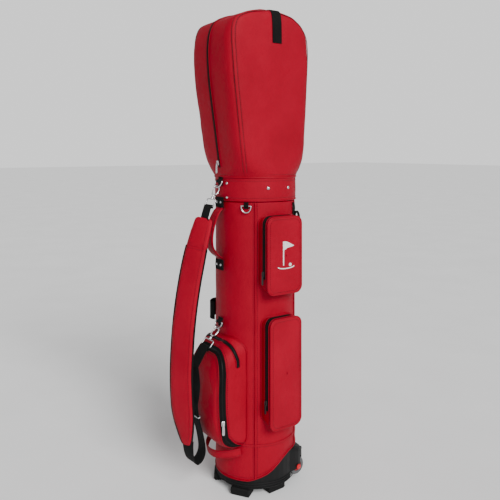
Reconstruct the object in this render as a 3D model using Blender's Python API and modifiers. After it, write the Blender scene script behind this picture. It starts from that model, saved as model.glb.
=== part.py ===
"""Wheeled golf travel bag with a zipped rain hood and a clip-on shoulder strap.

Metres, +Z up. The bag stands on its feet at Z = 0, its front (strap, handle and ball pocket) faces -Y,
and its wheels are at the back. Everything hangs from one empty on the axis of the tube.
"""

import math

import bmesh
import bpy
from mathutils import Vector

# Tube and collar
AXIS_Y = 0.062  # puts the middle of the whole bag over the origin
GAP = 0.0004  # clearance between pieces that touch
TUBE_R = 0.107
SKIN = 0.002
SKIN_LOW = 0.036
HEM_BACK = 0.0965  # the skin's lower edge rises to this behind, over the wheel housing
TUBE_TOP = 0.748
COLLAR_TOP = 0.810
COLLAR_PROUD = 0.0015
LINER_TOP = 0.806
ROUND_STEPS = 40

SIDE_LOOP = 32  # degrees round the tube from +X
SLEEVE_TURN = math.radians(-45)  # of the umbrella's sleeve round the tube, from the front
SLEEVE_Z = 0.447
FOOT_LOOP_Z = 0.117  # where the umbrella's foot loop leaves the tube
FOOT_LOOP_TILT = math.radians(12)

# Base, feet and wheels
BASE_FLOOR = 0.020
BASE_TOP = 0.100
HOUSING_HALF = 0.0945
HOUSING_FRONT = 0.034
HOUSING_BACK = 0.108
HOUSING_TOP = 0.0955
HOUSING_CORNER = 0.045  # of its two upright edges behind
HOUSING_FALL = 0.36  # its top falls this much for each metre towards the back
HOUSING_FALL_FROM = 0.062
WHEEL_R = 0.0235
WHEEL_WIDTH = 0.017
WHEEL_X = 0.080
WHEEL_Y = 0.073
WHEEL_Z = 0.042
ARCH_LOW = 0.036  # lower edge of the cheeks that cover the wheels' outer faces
CAP_R = 0.0065
CAP_THICK = 0.0030
AXLE_R = 0.003

# Box pockets: turned by this many degrees from +X, half width, lower and upper ends
UPPER_POCKET = (-1.5, 0.0520, 0.518, 0.711)
LOWER_POCKET = (0.0, 0.0480, 0.180, 0.455)
APPAREL_POCKET = (169.0, 0.0520, 0.190, 0.700)
POCKET_CORNER = 0.018
POCKET_RISE = 0.35  # the bottom wall climbs this much for each metre towards the tube
POCKET_EDGE = 0.134
ZIP_HALF = 0.009
ZIP_DEPTH = 0.122
ZIP_THICK = 0.0012
POCKET_CLEAR = 0.0014  # of the zips, over the pocket's walls

# Ball pocket sections: depth from the tube's axis, half width, lower and upper ends
BALL_SECTIONS = (
    (0.070, 0.0740, 0.1290, 0.408),
    (0.112, 0.0740, 0.1300, 0.396),
    (0.130, 0.0735, 0.1340, 0.380),
    (0.146, 0.0720, 0.1440, 0.362),
    (0.158, 0.0680, 0.1620, 0.342),
    (0.166, 0.0600, 0.1870, 0.318),
    (0.169, 0.0460, 0.2150, 0.290),
)
BALL_CLEAR = 0.0022  # of the zips, over the pocket's curved sides
BALL_LOW_RADIUS = 0.022
BALL_TOP_RADIUS = 0.043

# Hood sections: height, half width, front, back and squareness (1 is an ellipse)
HOOD_SECTIONS = (
    (0.8105, 0.1075, -0.1075, 0.1075, 1.00),
    (0.8350, 0.1060, -0.1115, 0.1080, 0.66),
    (0.8650, 0.1045, -0.1160, 0.1088, 0.44),
    (0.9200, 0.1028, -0.1240, 0.1100, 0.35),
    (0.9900, 0.1020, -0.1345, 0.1125, 0.31),
    (1.0600, 0.1018, -0.1440, 0.1150, 0.29),
    (1.1150, 0.1018, -0.1480, 0.1170, 0.28),
    (1.1530, 0.1018, -0.1475, 0.1165, 0.28),
    (1.1820, 0.1016, -0.1425, 0.1110, 0.28),
    (1.2050, 0.1008, -0.1320, 0.0950, 0.27),
    (1.2170, 0.0995, -0.1170, 0.0800, 0.27),
    (1.2280, 0.0970, -0.0920, 0.0600, 0.28),
    (1.2355, 0.0920, -0.0640, 0.0250, 0.32),
    (1.2390, 0.0840, -0.0480, -0.0050, 0.38),
)
HOOD_WALL = 0.0025
TAB_LEVEL = 7  # section at which the webbing over the hood's top ends
TAB_HALF = 0.0145
TAB_Y = -0.004
TAB_CLEAR = 0.0045
ZIP_FOOT_LEVEL = 1.4  # section at which the hood's zip slider rests
HOOD_SIDES = 40

# Strap: its ends hang on two D-rings on the front of the tube
RING_Y = -0.121
RING_TOP_Z = 0.783
RING_LOW_Z = 0.418
RING_TILT = math.radians(22)
RING_HALF = 0.015
WIRE_R = 0.0016
HOOK_WIRE_R = 0.0019
TOP_HOOK_ANGLE = math.radians(-62)
LOW_HOOK_ANGLE = math.radians(-49)
EYE_HALF = 0.021
WEBBING_HALF = 0.018
WEBBING_THICK = 0.0018
ADJUSTER = (0.0, -0.1850, 0.2100)
ADJUSTER_LEAN = math.radians(12)
PAD_WIDTH = 0.066
PAD_THICK = 0.016
PAD_TWIST = math.radians(25)
PAD_TOP_SHARE = 0.22  # share of its length over which it widens
PAD_FOOT_SHARE = 0.18  # and over which it narrows again
PAD_PATH = (
    (-0.1590, 0.706),
    (-0.1790, 0.640),
    (-0.2020, 0.540),
    (-0.2170, 0.440),
    (-0.2240, 0.331),
    (-0.2210, 0.240),
    (-0.2090, 0.142),
)


def clear_scene():
    for obj in list(bpy.data.objects):
        bpy.data.objects.remove(obj, do_unlink=True)


def collection(name):
    made = bpy.data.collections.new(name)
    bpy.context.scene.collection.children.link(made)
    return made


def material(name, color, roughness, metallic=0.0):
    made = bpy.data.materials.new(name)
    made.use_nodes = True
    shader = made.node_tree.nodes["Principled BSDF"]
    shader.inputs["Base Color"].default_value = (*color, 1.0)
    shader.inputs["Roughness"].default_value = roughness
    shader.inputs["Metallic"].default_value = metallic
    return made


clear_scene()
parts = collection("golf_travel_bag")
cutters = collection("cutters")
RED = material("red_leather", (0.42, 0.008, 0.018), 0.45)
BLACK_PLASTIC = material("black_plastic", (0.012, 0.012, 0.013), 0.5)
WEBBING = material("black_webbing", (0.010, 0.010, 0.011), 0.85)
ZIP = material("zip_tape", (0.012, 0.011, 0.011), 0.7)
STEEL = material("nickel_steel", (0.62, 0.62, 0.63), 0.25, 1.0)
RUBBER = material("grey_rubber", (0.10, 0.10, 0.10), 0.8)
FOOT_RUBBER = material("black_rubber", (0.02, 0.02, 0.02), 0.85)
HUB_RED = material("red_plastic", (0.50, 0.010, 0.015), 0.35)
LINING = material("black_lining", (0.02, 0.02, 0.022), 0.9)


def empty(name, location, parent=None):
    made = bpy.data.objects.new(name, None)
    parts.objects.link(made)
    made.location = location
    made.parent = parent
    return made


def placed(name, data, slot, parent, location=(0, 0, 0), rotation=(0, 0, 0)):
    made = bpy.data.objects.new(name, data)
    parts.objects.link(made)
    made.parent = parent
    made.location = location
    made.rotation_euler = rotation
    data.materials.append(slot)
    return made


def mesh_of(name, bm):
    bmesh.ops.recalc_face_normals(bm, faces=bm.faces)
    data = bpy.data.meshes.new(name)
    bm.to_mesh(data)
    bm.free()
    return data


def smooth_shaded(made, degrees=35):
    for polygon in made.data.polygons:
        polygon.use_smooth = True
    made.data.set_sharp_from_angle(angle=math.radians(degrees))
    return made


def bevelled(made, width, segments=2):
    modifier = made.modifiers.new("rounding", "BEVEL")
    modifier.width = width
    modifier.segments = segments
    return made


def block(name, size, slot, parent, location=(0, 0, 0), rotation=(0, 0, 0), rounding=0.001):
    bm = bmesh.new()
    bmesh.ops.create_cube(bm, size=1.0)
    bmesh.ops.scale(bm, vec=size, verts=bm.verts)
    made = placed(name, mesh_of(name, bm), slot, parent, location, rotation)
    return bevelled(made, rounding) if rounding else made


def cylinder(name, radius, length, slot, parent, location=(0, 0, 0), rotation=(0, 0, 0), sides=24):
    bm = bmesh.new()
    bmesh.ops.create_cone(
        bm, cap_ends=True, segments=sides, radius1=radius, radius2=radius, depth=length
    )
    made = placed(name, mesh_of(name, bm), slot, parent, location, rotation)
    return smooth_shaded(made)


def turned(name, profile, slot, parent, location=(0, 0, 0), rotation=(0, 0, 0), steps=ROUND_STEPS):
    """A ring from a closed profile of (radius, height) that runs down its outer side first."""
    bm = bmesh.new()
    corners = [bm.verts.new((radius, 0.0, height)) for radius, height in profile]
    for i, corner in enumerate(corners):
        bm.edges.new((corner, corners[(i + 1) % len(corners)]))
    data = bpy.data.meshes.new(name)
    bm.to_mesh(data)
    bm.free()
    made = placed(name, data, slot, parent, location, rotation)
    screw = made.modifiers.new("turn", "SCREW")
    screw.steps = steps
    screw.render_steps = steps
    screw.use_merge_vertices = True
    screw.merge_threshold = 0.00001
    screw.use_smooth_shade = True
    return made


def as_cutter(made):
    parts.objects.unlink(made)
    cutters.objects.link(made)
    made.hide_render = True
    made.display_type = "WIRE"
    return made


def boolean(made, other, operation="DIFFERENCE"):
    modifier = made.modifiers.new(operation.lower(), "BOOLEAN")
    modifier.operation = operation
    modifier.object = other
    return made


def curve_to_mesh(made):
    """The same shape as a mesh, with its caps welded, so that it can take a Boolean."""
    bpy.context.view_layer.update()
    graph = bpy.context.evaluated_depsgraph_get()
    data = bpy.data.meshes.new_from_object(made.evaluated_get(graph))
    bm = bmesh.new()
    bm.from_mesh(data)
    bmesh.ops.remove_doubles(bm, verts=bm.verts, dist=0.000001)
    bmesh.ops.recalc_face_normals(bm, faces=bm.faces)
    bm.to_mesh(data)
    bm.free()
    name = made.name
    parent = made.parent
    matrix = made.matrix_world.copy()
    bpy.data.objects.remove(made, do_unlink=True)
    copy = bpy.data.objects.new(name, data)
    parts.objects.link(copy)
    copy.parent = parent
    bpy.context.view_layer.update()
    copy.matrix_world = matrix
    return copy


def smooth_path(points, steps=5, cyclic=False):
    """Points along a Catmull-Rom curve through the given ones."""
    count = len(points)
    vectors = [Vector(point) for point in points]

    def at(i):
        if cyclic:
            return vectors[i % count]
        return vectors[min(max(i, 0), count - 1)]

    made = []
    for i in range(count if cyclic else count - 1):
        before, start, end, after = at(i - 1), at(i), at(i + 1), at(i + 2)
        for step in range(steps):
            t = step / steps
            made.append(
                0.5
                * (
                    2 * start
                    + (end - before) * t
                    + (2 * before - 5 * start + 4 * end - after) * t * t
                    + (3 * start - before - 3 * end + after) * t * t * t
                )
            )
    if not cyclic:
        made.append(vectors[-1])
    return made


def normals_of(path):
    """Unit vectors to the left of each point of a flat path."""
    made = []
    for i in range(len(path)):
        along = path[min(i + 1, len(path) - 1)] - path[max(i - 1, 0)]
        made.append(Vector((-along.y, along.x)).normalized())
    return made


# A strip drawn in local X and Y stands in the world's YZ or XZ plane after one of these turns.
IN_YZ = (math.radians(90), 0, math.radians(90))
IN_XZ = (math.radians(90), 0, 0)
IN_XY = (0, 0, 0)


def strip(name, path, half_width, thickness, slot, parent, location=(0, 0, 0), rotation=IN_YZ):
    """A flat strap: a path in its own plane, thickened in that plane and widened across it."""
    flat = [Vector(point[:2]) for point in path]
    normals = normals_of(flat)
    outline = [p + n * thickness / 2 for p, n in zip(flat, normals)]
    outline += [p - n * thickness / 2 for p, n in reversed(list(zip(flat, normals)))]
    data = bpy.data.curves.new(name, "CURVE")
    data.dimensions = "2D"
    data.fill_mode = "BOTH"
    data.extrude = half_width
    spline = data.splines.new("POLY")
    spline.points.add(len(outline) - 1)
    for point, corner in zip(spline.points, outline):
        point.co = (corner.x, corner.y, 0.0, 1.0)
    spline.use_cyclic_u = True
    return placed(name, data, slot, parent, location, rotation)


def wire(name, path, radius, slot, parent, cyclic=False, location=(0, 0, 0), rotation=(0, 0, 0)):
    data = bpy.data.curves.new(name, "CURVE")
    data.dimensions = "3D"
    data.bevel_depth = radius
    data.bevel_resolution = 2
    data.use_fill_caps = True
    spline = data.splines.new("POLY")
    spline.points.add(len(path) - 1)
    for point, corner in zip(spline.points, path):
        point.co = (*corner, 1.0)
    spline.use_cyclic_u = cyclic
    return placed(name, data, slot, parent, location, rotation)


def loft(name, rings, slot, parent, closed_start=True, location=(0, 0, 0), rotation=(0, 0, 0)):
    """A skin through rings that have the same number of points, closed at its ends."""
    bm = bmesh.new()
    rows = [[bm.verts.new(point) for point in ring] for ring in rings]
    count = len(rows[0])
    for low, high in zip(rows, rows[1:]):
        for i in range(count):
            j = (i + 1) % count
            bm.faces.new((low[i], low[j], high[j], high[i]))
    if closed_start:
        bm.faces.new(rows[0])
    bm.faces.new(rows[-1])
    made = placed(name, mesh_of(name, bm), slot, parent, location, rotation)
    return smooth_shaded(made)


def rounded_outline(half, low, high, low_radius, high_radius, steps=4):
    """(across, up) points round an upright rounded rectangle, from its lower right corner upwards."""
    corners = (
        (half - low_radius, low + low_radius, low_radius, -90),
        (half - high_radius, high - high_radius, high_radius, 0),
        (high_radius - half, high - high_radius, high_radius, 90),
        (low_radius - half, low + low_radius, low_radius, 180),
    )
    made = []
    for across, up, radius, start in corners:
        for step in range(steps + 1):
            angle = math.radians(start + 90 * step / steps)
            made.append((across + radius * math.cos(angle), up + radius * math.sin(angle)))
    return made


def between(table, value):
    """The row of a table at this value of its first column, straight between the rows given."""
    value = min(max(value, table[0][0]), table[-1][0])
    for low, high in zip(table, table[1:]):
        if value <= high[0]:
            share = (value - low[0]) / (high[0] - low[0])
            return [a + (b - a) * share for a, b in zip(low, high)]
    return list(table[-1])


def band_on(name, surface, path, half_width, clear, parent, rotation):
    """A zip's flat tape that lies on surface(a, b) along a path of (a, b), just clear of it."""
    step = 0.001
    core = Vector((0.05, 0.0, sum(surface(a, b).z for a, b in path) / len(path)))
    centres = [surface(a, b) for a, b in path]
    rings = []
    for i, (a, b) in enumerate(path):
        along_a = surface(a + step, b) - surface(a - step, b)
        along_b = surface(a, b + step) - surface(a, b - step)
        normal = along_b.cross(along_a).normalized()
        if normal.dot(centres[i] - core) < 0:
            normal.negate()
        along = centres[min(i + 1, len(path) - 1)] - centres[max(i - 1, 0)]
        across = along.cross(normal).normalized() * half_width
        under = centres[i] + normal * clear
        over = under + normal * ZIP_THICK
        rings.append([under - across, under + across, over + across, over - across])
    return loft(name, rings, ZIP, parent, rotation=rotation)


bag = empty("bag_axis", (0.0, AXIS_Y, 0.0))


def make_base():
    """The moulded tub, with a housing for the two wheels behind it."""
    outer = TUBE_R - SKIN - GAP
    wall = 0.004
    profile = (
        (outer, BASE_TOP),
        (outer, BASE_FLOOR),
        (0.004, BASE_FLOOR),
        (0.004, BASE_FLOOR + wall),
        (outer - wall, BASE_FLOOR + wall),
        (outer - wall, BASE_TOP),
    )
    tub = turned("base_tub", profile, BLACK_PLASTIC, bag)
    outlines = (
        (0.0, BASE_FLOOR),
        (0.0, HOUSING_TOP - 0.010),
        (0.003, HOUSING_TOP - 0.003),
        (0.010, HOUSING_TOP),
    )
    rings = []
    for inset, height in outlines:
        plan = rounded_outline(
            HOUSING_HALF - inset,
            HOUSING_FRONT + inset,
            HOUSING_BACK - inset,
            0.004,
            HOUSING_CORNER - inset,
            6,
        )
        fall = HOUSING_FALL if height > BASE_FLOOR else 0.0
        rings.append([(x, y, height - fall * max(y - HOUSING_FALL_FROM, 0.0)) for x, y in plan])
    housing = loft("housing_block", rings, BLACK_PLASTIC, bag)
    hollow = cylinder("tub_hollow", outer - wall, 0.2, BLACK_PLASTIC, bag, (0, 0, 0.124))
    boolean(housing, as_cutter(hollow))
    boolean(tub, as_cutter(housing), "UNION")
    skin_clear = turned(
        "skin_clearance",
        ((TUBE_R + 0.03, 0.2), (TUBE_R + 0.03, 0.0960), (outer, 0.0960), (outer, 0.2)),
        BLACK_PLASTIC,
        bag,
    )
    boolean(tub, as_cutter(skin_clear))
    inner = WHEEL_X - WHEEL_WIDTH / 2 - 0.0010
    outer_face = WHEEL_X + WHEEL_WIDTH / 2 + 0.0008
    beyond = 0.130
    for side in (-1, 1):
        well = cylinder(
            f"wheel_well_{side}",
            WHEEL_R + 0.004,
            outer_face - inner,
            BLACK_PLASTIC,
            bag,
            (side * (inner + outer_face) / 2, WHEEL_Y, WHEEL_Z),
            (0, math.radians(90), 0),
        )
        boolean(tub, as_cutter(well))
        below = block(
            f"wheel_slot_{side}",
            (beyond - inner, 2 * WHEEL_R + 0.008, 0.04),
            BLACK_PLASTIC,
            bag,
            (side * (inner + beyond) / 2, WHEEL_Y, ARCH_LOW - 0.02),
            rounding=0,
        )
        boolean(tub, as_cutter(below))
    bore = cylinder(
        "axle_bore", AXLE_R + GAP, 0.3, STEEL, bag, (0, WHEEL_Y, WHEEL_Z), (0, math.radians(90), 0)
    )
    boolean(tub, as_cutter(bore))
    spots = (("front", 0.052, -0.078), ("side", 0.080, 0.002))
    for label, foot_x, foot_y in spots:
        for side_name, side in (("left", -1), ("right", 1)):
            height = BASE_FLOOR - GAP
            turn = math.atan2(side * foot_x, -foot_y)
            block(
                f"foot_{label}_{side_name}",
                (0.052, 0.032, height),
                FOOT_RUBBER,
                bag,
                (side * foot_x, foot_y, height / 2),
                (0, 0, turn),
                0.003,
            )


def make_wheels():
    cylinder(
        "wheel_axle",
        AXLE_R,
        2 * (HOUSING_HALF + GAP / 2),
        STEEL,
        bag,
        (0, WHEEL_Y, WHEEL_Z),
        (0, math.radians(90), 0),
        12,
    )
    half = WHEEL_WIDTH / 2
    hub_r = 0.014
    for side_name, side in (("left", -1), ("right", 1)):
        hub = empty(f"wheel_{side_name}_axis", (side * WHEEL_X, WHEEL_Y, WHEEL_Z), bag)
        cap_x = HOUSING_HALF + 2 * GAP + CAP_THICK / 2
        cap = cylinder(
            f"axle_cap_{side_name}",
            CAP_R,
            CAP_THICK,
            HUB_RED,
            bag,
            (side * cap_x, WHEEL_Y, WHEEL_Z),
            (0, math.radians(90), 0),
        )
        bevelled(cap, 0.0008)
        tyre = (
            (WHEEL_R - 0.003, half),
            (WHEEL_R, half - 0.003),
            (WHEEL_R, 0.003 - half),
            (WHEEL_R - 0.003, -half),
            (hub_r, -half),
            (hub_r, half),
        )
        upright = (0, math.radians(90) * side, 0)
        turned(f"tyre_{side_name}", tyre, RUBBER, hub, rotation=upright, steps=28)
        core = (
            (hub_r - GAP, half - 0.001),
            (hub_r - GAP, 0.002 - half),
            (AXLE_R + GAP, 0.002 - half),
            (AXLE_R + GAP, half - 0.003),
            (0.006, half - 0.001),
        )
        turned(f"hub_{side_name}", core, HUB_RED, hub, rotation=upright, steps=28)


def make_tube():
    skin = turned(
        "body_skin",
        (
            (TUBE_R, TUBE_TOP),
            (TUBE_R, SKIN_LOW),
            (TUBE_R - SKIN, SKIN_LOW),
            (TUBE_R - SKIN, TUBE_TOP),
        ),
        RED,
        bag,
    )
    hem = ((-0.2, -0.1), (-0.2, SKIN_LOW + 0.001), (-0.062, SKIN_LOW + 0.002))
    hem += ((0.026, HEM_BACK), (0.2, HEM_BACK), (0.2, -0.1))
    below_hem = loft("below_hem", [[(x, y, z) for y, z in hem] for x in (-0.2, 0.2)], RED, bag)
    boolean(skin, as_cutter(below_hem))
    liner_r = TUBE_R - SKIN - GAP
    turned(
        "body_liner",
        (
            (liner_r, LINER_TOP),
            (liner_r, BASE_TOP + GAP),
            (liner_r - SKIN, BASE_TOP + GAP),
            (liner_r - SKIN, LINER_TOP),
        ),
        LINING,
        bag,
    )
    turned(
        "collar",
        (
            (TUBE_R, COLLAR_TOP),
            (TUBE_R + COLLAR_PROUD, COLLAR_TOP - 0.003),
            (TUBE_R + COLLAR_PROUD, TUBE_TOP + 0.003),
            (TUBE_R, TUBE_TOP + GAP),
            (TUBE_R - SKIN, TUBE_TOP + GAP),
            (TUBE_R - SKIN, COLLAR_TOP),
        ),
        RED,
        bag,
    )
    rim_out = liner_r - 2 * GAP
    turned(
        "top_rim",
        (
            (rim_out - 0.003, LINER_TOP + 0.012),
            (rim_out, LINER_TOP + 0.009),
            (rim_out, LINER_TOP + GAP),
            (rim_out - 0.008, LINER_TOP + GAP),
            (rim_out - 0.008, LINER_TOP + 0.009),
            (rim_out - 0.005, LINER_TOP + 0.012),
        ),
        BLACK_PLASTIC,
        bag,
    )
    reach = 2 * (liner_r - SKIN) - 0.002
    divider = block(
        "club_divider", (reach, 0.008, 0.014), LINING, bag, (0, 0, LINER_TOP - 0.010), rounding=0.002
    )
    crossbar = block(
        "divider_crossbar", (0.008, reach, 0.014), LINING, bag, (0, 0, LINER_TOP - 0.010), rounding=0.002
    )
    boolean(divider, as_cutter(crossbar), "UNION")


def tube_cutter():
    return as_cutter(cylinder("tube_space", TUBE_R + GAP, 2.0, RED, bag, (0, 0, 0.5), sides=ROUND_STEPS))


def turned_about_z(point, angle):
    cosine, sine = math.cos(angle), math.sin(angle)
    return (point.x * cosine - point.y * sine, point.x * sine + point.y * cosine, point.z)


def make_box_pocket(name, pocket, zip_side):
    """A stiff box pocket, and the zip round its front wall and its top."""
    turn, half, low, high = pocket
    rotation = (0, 0, math.radians(turn))

    def section(depth, inset=0.0):
        risen = low + inset + POCKET_RISE * max(POCKET_EDGE - depth, 0)
        return rounded_outline(half - inset, risen, high - inset, POCKET_CORNER, POCKET_CORNER)

    rows = ((0.080, 0), (POCKET_EDGE, 0), (0.1370, 0.0022), (0.1385, 0.0070), (0.1392, 0.0200))
    rings = [[(depth, a, u) for a, u in section(depth, inset)] for depth, inset in rows]
    body = loft(name, rings, RED, bag, rotation=rotation)
    boolean(body, tube)

    def surface(depth, index):
        outline = section(depth)
        below = int(index)
        share = index - below
        a0, u0 = outline[below]
        a1, u1 = outline[below + 1]
        return Vector((depth, zip_side * (a0 + (a1 - a0) * share), u0 + (u1 - u0) * share))

    stops = (4.12, 4.5, 4.9, 5, 6, 7, 8, 9, 9.1, 9.5, 9.85)
    path = [(ZIP_DEPTH, index + 0.001) for index in stops]
    band_on(f"{name}_zip", surface, path, ZIP_HALF, POCKET_CLEAR, bag, rotation)
    normal = Vector((0.0, zip_side, 0.0))
    start = surface(ZIP_DEPTH, 4.2) + normal * (POCKET_CLEAR + ZIP_THICK + 0.0003)
    slider_turn = rotation[2] + math.atan2(normal.x, -normal.y)
    spot = turned_about_z(start, rotation[2])
    make_slider(name, bag, spot, (0, 0, slider_turn), False)


def make_ball_pocket():
    """The rounded pocket on the front, with one zip round its flap and a short one above it."""
    facing = (0, 0, math.radians(-90))

    def outline(depth):
        _, half, low, high = between(BALL_SECTIONS, depth)
        return rounded_outline(half, low, high, BALL_LOW_RADIUS, BALL_TOP_RADIUS)

    rings = [[(row[0], a, u) for a, u in outline(row[0])] for row in BALL_SECTIONS]
    boolean(loft("ball_pocket", rings, RED, bag, rotation=facing), tube)

    def surface(depth, index):
        points = outline(depth)
        below = int(index)
        share = index - below
        a0, u0 = points[below]
        a1, u1 = points[below + 1]
        return Vector((depth, a0 + (a1 - a0) * share, u0 + (u1 - u0) * share))

    def round_the_top(half_path):
        other = [(depth, 19 - index) for depth, index in reversed(half_path)]
        return list(reversed(half_path + other))

    main = [(0.092, 1.7), (0.108, 2.3), (0.124, 3.1), (0.1375, 3.85), (0.1455, 4.15)]
    main += [(0.149, 4.4), (0.150, 4.7), (0.149, 5.0), (0.147, 6.0), (0.144, 7.0)]
    main += [(0.141, 8.0), (0.139, 9.0), (0.139, 9.4)]
    band_on("ball_pocket_zip", surface, round_the_top(main), 0.006, BALL_CLEAR, bag, facing)
    small = [(0.105, 4.90), (0.109, 5.3), (0.112, 6.1), (0.115, 7.1), (0.118, 8.1), (0.119, 9.2)]
    band_on("tee_pocket_zip", surface, round_the_top(small), 0.0045, BALL_CLEAR, bag, facing)
    lean = math.atan(0.33)
    start = surface(0.1485, 4.25)
    out = BALL_CLEAR + ZIP_THICK + 0.0006
    spot = (start.y + out * math.cos(lean), -start.x - out * math.sin(lean), start.z)
    make_slider("ball_pocket", bag, spot, (0, 0, math.radians(90) - lean), True)


def make_slider(name, parent, location, rotation, with_pull):
    """A zip slider that lies in local XY, its pull hanging down local -Z."""
    slot = empty(f"{name}_axis", location, parent)
    slot.rotation_euler = rotation
    if not with_pull:
        body = block(f"{name}_slider", (0.008, 0.004, 0.012), STEEL, slot, (0, -0.0022, 0), rounding=0.0008)
        tail = block(
            f"{name}_tail", (0.006, 0.0018, 0.024), STEEL, slot, (0, -0.0036, -0.014), rounding=0.0006
        )
        return boolean(body, as_cutter(tail), "UNION")
    block(f"{name}_slider", (0.009, 0.004, 0.013), STEEL, slot, (0, -0.0022, 0), rounding=0.0008)
    pivot = empty(f"{name}_pull_axis", (0, -0.0062, -0.001), slot)
    pivot.rotation_euler = (-rotation[0], 0, 0)
    return block(f"{name}_pull", (0.007, 0.0018, 0.026), STEEL, pivot, (0, 0, -0.013), rounding=0.0007)


def make_handle():
    """The padded carry handle on the front, sewn down at both ends."""
    path = (
        (-0.1125, 0.7290),
        (-0.1230, 0.7190),
        (-0.1350, 0.6950),
        (-0.1430, 0.6600),
        (-0.1415, 0.6320),
        (-0.1280, 0.6120),
        (-0.1125, 0.6010),
    )
    strip("carry_handle", smooth_path(path, 4), 0.0175, 0.007, RED, bag)
    for label, height in (("top", 0.7450), ("bottom", 0.5830)):
        block(
            f"handle_tab_{label}",
            (0.036, 0.005, 0.026),
            WEBBING,
            bag,
            (0, -TUBE_R - 0.0045, height),
            rounding=0.0015,
        )


def on_tube(degrees, height, out=0.0, radius=TUBE_R):
    angle = math.radians(degrees)
    return (
        (radius + out) * math.cos(angle),
        (radius + out) * math.sin(angle),
        height,
    )


def make_front_loops():
    """Webbing loops on the front for an umbrella, and the small loops by the collar."""
    sleeve = ((0.024, -0.1062), (0.021, -0.1165), (0.010, -0.1230), (-0.010, -0.1230))
    sleeve += ((-0.021, -0.1165), (-0.024, -0.1062))
    sleeve = [turned_about_z(Vector((x, y, 0.0)), SLEEVE_TURN) for x, y in smooth_path(sleeve, 4)]
    sleeve = [(point[0], point[1]) for point in sleeve]
    strip("umbrella_strap", sleeve, 0.024, 0.002, WEBBING, bag, (0, 0, SLEEVE_Z), IN_XY)
    foot = ((0.067, -0.0935), (0.054, -0.1150), (0.028, -0.1380), (0.0, -0.1450))
    foot += ((-0.028, -0.1380), (-0.054, -0.1150), (-0.067, -0.0935))
    drop = 0.0890 * math.sin(FOOT_LOOP_TILT)
    strip(
        "umbrella_foot_loop",
        smooth_path(foot, 4),
        0.010,
        0.003,
        RED,
        bag,
        (0, 0, FOOT_LOOP_Z + drop),
        (FOOT_LOOP_TILT, 0, 0),
    )
    block(
        "side_loop",
        (0.003, 0.012, 0.032),
        WEBBING,
        bag,
        on_tube(SIDE_LOOP, 0.727, 0.0022),
        (0, 0, math.radians(SIDE_LOOP)),
        0.0008,
    )
    for label, degrees in (("front", -17.4), ("back", 16.0)):
        cap = (
            (0.0, 0.0022),
            (0.0030, 0.0018),
            (0.0045, 0.0),
            (0.0, 0.0),
        )
        make_snap(f"snap_{label}", cap, degrees)


def make_snap(name, cap, degrees):
    """A domed press stud on the collar."""
    bm = bmesh.new()
    corners = [bm.verts.new((radius, 0.0, height)) for radius, height in cap]
    for first, second in zip(corners, corners[1:]):
        bm.edges.new((first, second))
    data = bpy.data.meshes.new(name)
    bm.to_mesh(data)
    bm.free()
    turn = math.radians(degrees)
    spot = on_tube(degrees, 0.783, COLLAR_PROUD + GAP)
    made = placed(name, data, STEEL, bag, spot, (0, math.radians(90), turn))
    screw = made.modifiers.new("turn", "SCREW")
    screw.steps = 16
    screw.render_steps = 16
    screw.use_merge_vertices = True
    screw.merge_threshold = 0.00001
    return made


def d_outline(half, drop):
    """A D lying in local XZ: a straight bar on top and a round bow below it."""
    bow = []
    for step in range(13):
        angle = math.pi * step / 12
        bow.append((half * math.cos(angle), 0.0, -drop * math.sin(angle) ** 0.8))
    return bow


def make_d_ring(name, parent, location, tilt, half, drop, turn=0.0):
    return wire(
        name, d_outline(half, drop), WIRE_R, STEEL, parent, True, location, (tilt, 0, turn)
    )


def make_ring_tabs():
    for label, height in (("top", RING_TOP_Z), ("low", RING_LOW_Z)):
        drop = 0.017
        bar_y = RING_Y + drop * math.sin(RING_TILT)
        bar_z = height + drop * math.cos(RING_TILT)
        make_d_ring(f"d_ring_{label}", bag, (0, bar_y, bar_z), -RING_TILT, RING_HALF, drop)
        turn_r = WIRE_R + GAP + WEBBING_THICK / 2
        wrap = [(bar_y + turn_r * math.cos(a), bar_z + turn_r * math.sin(a)) for a in half_turn()]
        root_y = -TUBE_R - COLLAR_PROUD - 0.0018
        path = [(root_y, bar_z + 0.012), (root_y, bar_z + 0.004)]
        path += wrap
        path += [(root_y, bar_z - 0.004), (root_y, bar_z - 0.012)]
        strip(f"ring_tab_{label}", path, 0.010, WEBBING_THICK, WEBBING, bag)


def half_turn():
    """Angles round the front of a bar, from above it to below it."""
    return [math.radians(90 + 30 * step) for step in range(7)]


def chain_point(anchor, angle, along, across):
    """A point of a hook's own plane, as (y, z): along the pull from the D-ring, and to its side."""
    cosine, sine = math.cos(angle), math.sin(angle)
    return (
        anchor[0] - along * cosine - across * sine,
        anchor[1] + along * sine - across * cosine,
    )


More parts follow.
